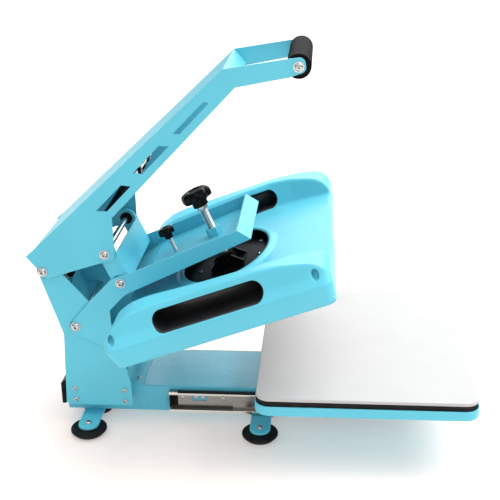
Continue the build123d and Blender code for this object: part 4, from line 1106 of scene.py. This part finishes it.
@dataclass
class HandleGrip:
    """Ribbed rubber grip between the handle's plates."""

    axis: tuple[float, float] = (410.0, 720.0)
    radius: float = 22.0
    half: float = 108.5
    plain_end: float = 6.0
    ribs: int = 15
    depth: float = 2.6
    end_round: float = 3.0

    def build(self, finish: bpy.types.Material) -> None:
        """Makes the grip: the radius falls between ribs by one less a rectified sine to the power 0.6.

        Args:
            finish: its material.
        """
        y = np.linspace(-self.half, self.half, self.ribs * 24 + 1)
        inner = self.half - self.plain_end
        wave = np.abs(np.sin(math.pi * self.ribs * (y + inner) / (2 * inner))) ** 0.6
        plain = 1 - smooth_step((np.abs(y) - inner) / 2.5)
        radius = self.radius - self.depth * np.where(np.abs(y) < inner, 1 - wave, plain)
        radius = radius - rounding(self.end_round, self.half - np.abs(y))
        rows = np.stack((radius, y, np.zeros_like(y)), -1)
        capped = np.concatenate(([(0.0, -self.half, 0.0)], rows, [(0.0, self.half, 0.0)]))
        placing = Placing((self.axis[0], 0.0, self.axis[1]), (1.0, 0.0, 0.0), (0.0, 0.0, -1.0), (0.0, 1.0, 0.0))
        surface = placing.put(turned_form(capped, 64))
        piece = make_piece("ribbed_grip", surface, finish, "handle", 35.0)
        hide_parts("handle_grip")


@dataclass
class RubberFeet:
    """Dished rubber feet: a wide rim over a narrower sole, and a neck under the bar."""

    spots: tuple[float, float] = (0.0, 339.6)
    height: float = 17.0
    outer: tuple[float, float] = (136.8, 35.5)
    inner: tuple[float, float] = (43.0, 33.0)
    profile: tuple = (
        (0.0, 0.0), (0.74, 0.0), (0.80, 0.04), (0.84, 0.16), (0.93, 0.34), (0.985, 0.46), (1.0, 0.58), (1.0, 0.66),
        (0.985, 0.76), (0.95, 0.83), (0.90, 0.86), (0.80, 0.85), (0.62, 0.87), (0.54, 0.91), (0.52, 1.0), (0.0, 1.0),
    )

    def build(self, finish: bpy.types.Material) -> None:
        """Makes the outer and the inner feet as two pieces of four discs.

        Args:
            finish: their material.
        """
        for name, (reach, radius) in (("outer_feet", self.outer), ("inner_feet", self.inner)):
            rows = np.array([(r * radius, z * self.height, 0.0) for r, z in self.profile])
            fine = soften(sampled(rows, 0.5), 0.7, 0.5)
            fine[0], fine[-1] = rows[0], rows[-1]
            fine = fine[::2] if len(fine) % 2 else np.concatenate((fine[::2], fine[-1:]))
            fine[:, 1] = np.clip(fine[:, 1], 0.0, self.height)
            points, faces = turned_form(fine, 72)
            spots = [(x, side.value * reach, 0.0) for x in self.spots for side in Side]
            surface = joined([(points + spot, faces) for spot in spots])
            piece = make_piece(f"{name}_dished", surface, finish, "frame", 40.0)
            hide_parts(name)


def strip(x: Sequence[float], y: Sequence[float], z: Sequence[float], round_off: float) -> Surface:
    """Bar along X whose upright section is a rectangle with rounded corners, closed at both ends.

    A section point at angle t is the corner's centre plus the rounding radius times (cos t, sin t).

    Args:
        x: its two ends.
        y: its two sides.
        z: its bottom and top.
        round_off: the rounding radius.

    Returns:
        The points and the faces.
    """
    count = 24
    turn = np.linspace(0.0, 2 * math.pi, count, endpoint=False) + math.pi / count
    half_y, half_z = (y[1] - y[0]) / 2 - round_off, (z[1] - z[0]) / 2 - round_off
    ring_y = (y[0] + y[1]) / 2 + half_y * np.sign(np.cos(turn)) + round_off * np.cos(turn)
    ring_z = (z[0] + z[1]) / 2 + half_z * np.sign(np.sin(turn)) + round_off * np.sin(turn)
    inner_y, inner_z = (ring_y + np.mean(ring_y) * 9) / 10, (ring_z + np.mean(ring_z) * 9) / 10
    rings = [(inner_y, inner_z, x[0]), (ring_y, ring_z, x[0]), (ring_y, ring_z, x[1]), (inner_y, inner_z, x[1])]
    return grid_surface(np.stack([np.stack((np.full(count, at), y, z), -1) for y, z, at in rings]), True)


@dataclass
class SlideTrim:
    """Race lips of the fixed slide members, and black strips on them that stand as painted shade for the dark gap
    above the slides.

    A bar has its distances from the base channel's wall, then its bottom and top.
    """

    wall: float = 80.3
    front: float = 399.0
    lips_from: float = 155.0
    lips: tuple = ((11.2, 12.4, 25.0, 31.0), (11.2, 12.4, 64.0, 70.0))
    shade_strips_from: float = 173.0
    shade_strips: tuple = ((5.0, 12.45, 70.05, 71.0), (12.42, 12.6, 68.4, 71.0))

    def build(self, finishes: Finishes) -> None:
        """Makes the lips in bright steel and the painted-shade strips in the black plastic finish, on both sides.

        Args:
            finishes: the materials by name.
        """
        for name, bars, start, round_off, key, slot in (
            ("slide_race_lips", self.lips, self.lips_from, 0.5, "bright_steel", "rail_steel"),
            # Black strips as painted shade: they darken the gap above the slides.
            ("slide_shade_strips", self.shade_strips, self.shade_strips_from, 0.08, "black_plastic", "black_plastic"),
        ):
            surfaces = []
            for side in Side:
                for near, far, low, high in bars:
                    sides = sorted(side.value * (self.wall + reach) for reach in (near, far))
                    surfaces.append(strip((start, self.front), sides, (low, high), round_off))
            make_piece(name, joined(surfaces), finishes[key], "frame", 40.0)


@dataclass
class SpringFittings:
    """Black end sleeves of the gas springs' rods, beside the lower rod of the column."""

    top: tuple[float, float] = (107.0, 515.0)
    low: tuple[float, float] = (-45.0, 292.0)
    reach: float = 46.0
    profile: tuple = ((4.6, 9.0), (6.6, 9.4), (7.2, 11.0), (7.2, 20.0), (6.6, 22.5), (5.4, 24.0), (4.6, 24.4))

    def build(self, finish: bpy.types.Material) -> None:
        """Makes both sleeves as one piece, turned about the springs' axes from their lower ends.

        Args:
            finish: their material.
        """
        run = np.array([self.top[0] - self.low[0], 0.0, self.top[1] - self.low[1]])
        run /= np.linalg.norm(run)
        form = turned_form(sampled([(r, at, 0.0) for r, at in self.profile], 0.6), 40)
        surfaces = []
        for side in Side:
            foot = (self.low[0], side.value * self.reach, self.low[1])
            placing = Placing(foot, (-run[2], 0.0, run[0]), (0.0, -1.0, 0.0), tuple(run))
            surfaces.append(placing.put(form))
        make_piece("spring_rod_sleeves", joined(surfaces), finish, "gas_rods", 35.0)


@dataclass
class CarriedNodes:
    """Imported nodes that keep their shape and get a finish.

    Each takes the finish of its material slot, but for those that the light in the photo shows
    darker or glossier than the rest of their slot.
    """

    record: dict[str, Any]
    own_finish: tuple = (
        ("carrier_plate", "black_plastic"),
        ("base_channel", "blue_shaded_gloss"),
        # Base channel: darker blue as painted shade under the platen.
        ("slide_ball_cages", "rail_steel"),
        ("clevis", "black_plastic"),
        ("swivel_block", "black_plastic"),
        ("swivel_pin", "black_oxide"),
        ("arm_link_rod", "black_oxide"),
    )

    def dress(self, finishes: Finishes) -> None:
        """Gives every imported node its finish.

        Args:
            finishes: the materials by name.
        """
        own = dict(self.own_finish)
        for entry in self.record["subparts"]:
            mesh = frame["nodes"][entry["node"]].data
            mesh.materials.clear()
            mesh.materials.append(finishes[own.get(entry["node"], entry["material_slot"])])
            mesh.polygons.foreach_set("material_index", np.zeros(len(mesh.polygons), np.int32))
            LOG.info("dressed %s", entry["node"])


def main() -> None:
    """Builds the looks in order."""
    logging.basicConfig(level=logging.INFO, format="%(message)s")
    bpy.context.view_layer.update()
    Studio().build()
    finishes = {slot: finish.build() for slot, finish in FINISHES.items()}
    CarriedNodes(frame["record"]).dress(finishes)
    PlatenCover().build(finishes)
    Screws().build(finishes)
    HandleGrip().build(finishes["grip_rubber"])
    RubberFeet().build(finishes["rubber"])
    SlideTrim().build(finishes)
    SpringFittings().build(finishes["black_plastic"])


if __name__ == "__main__":
    main()
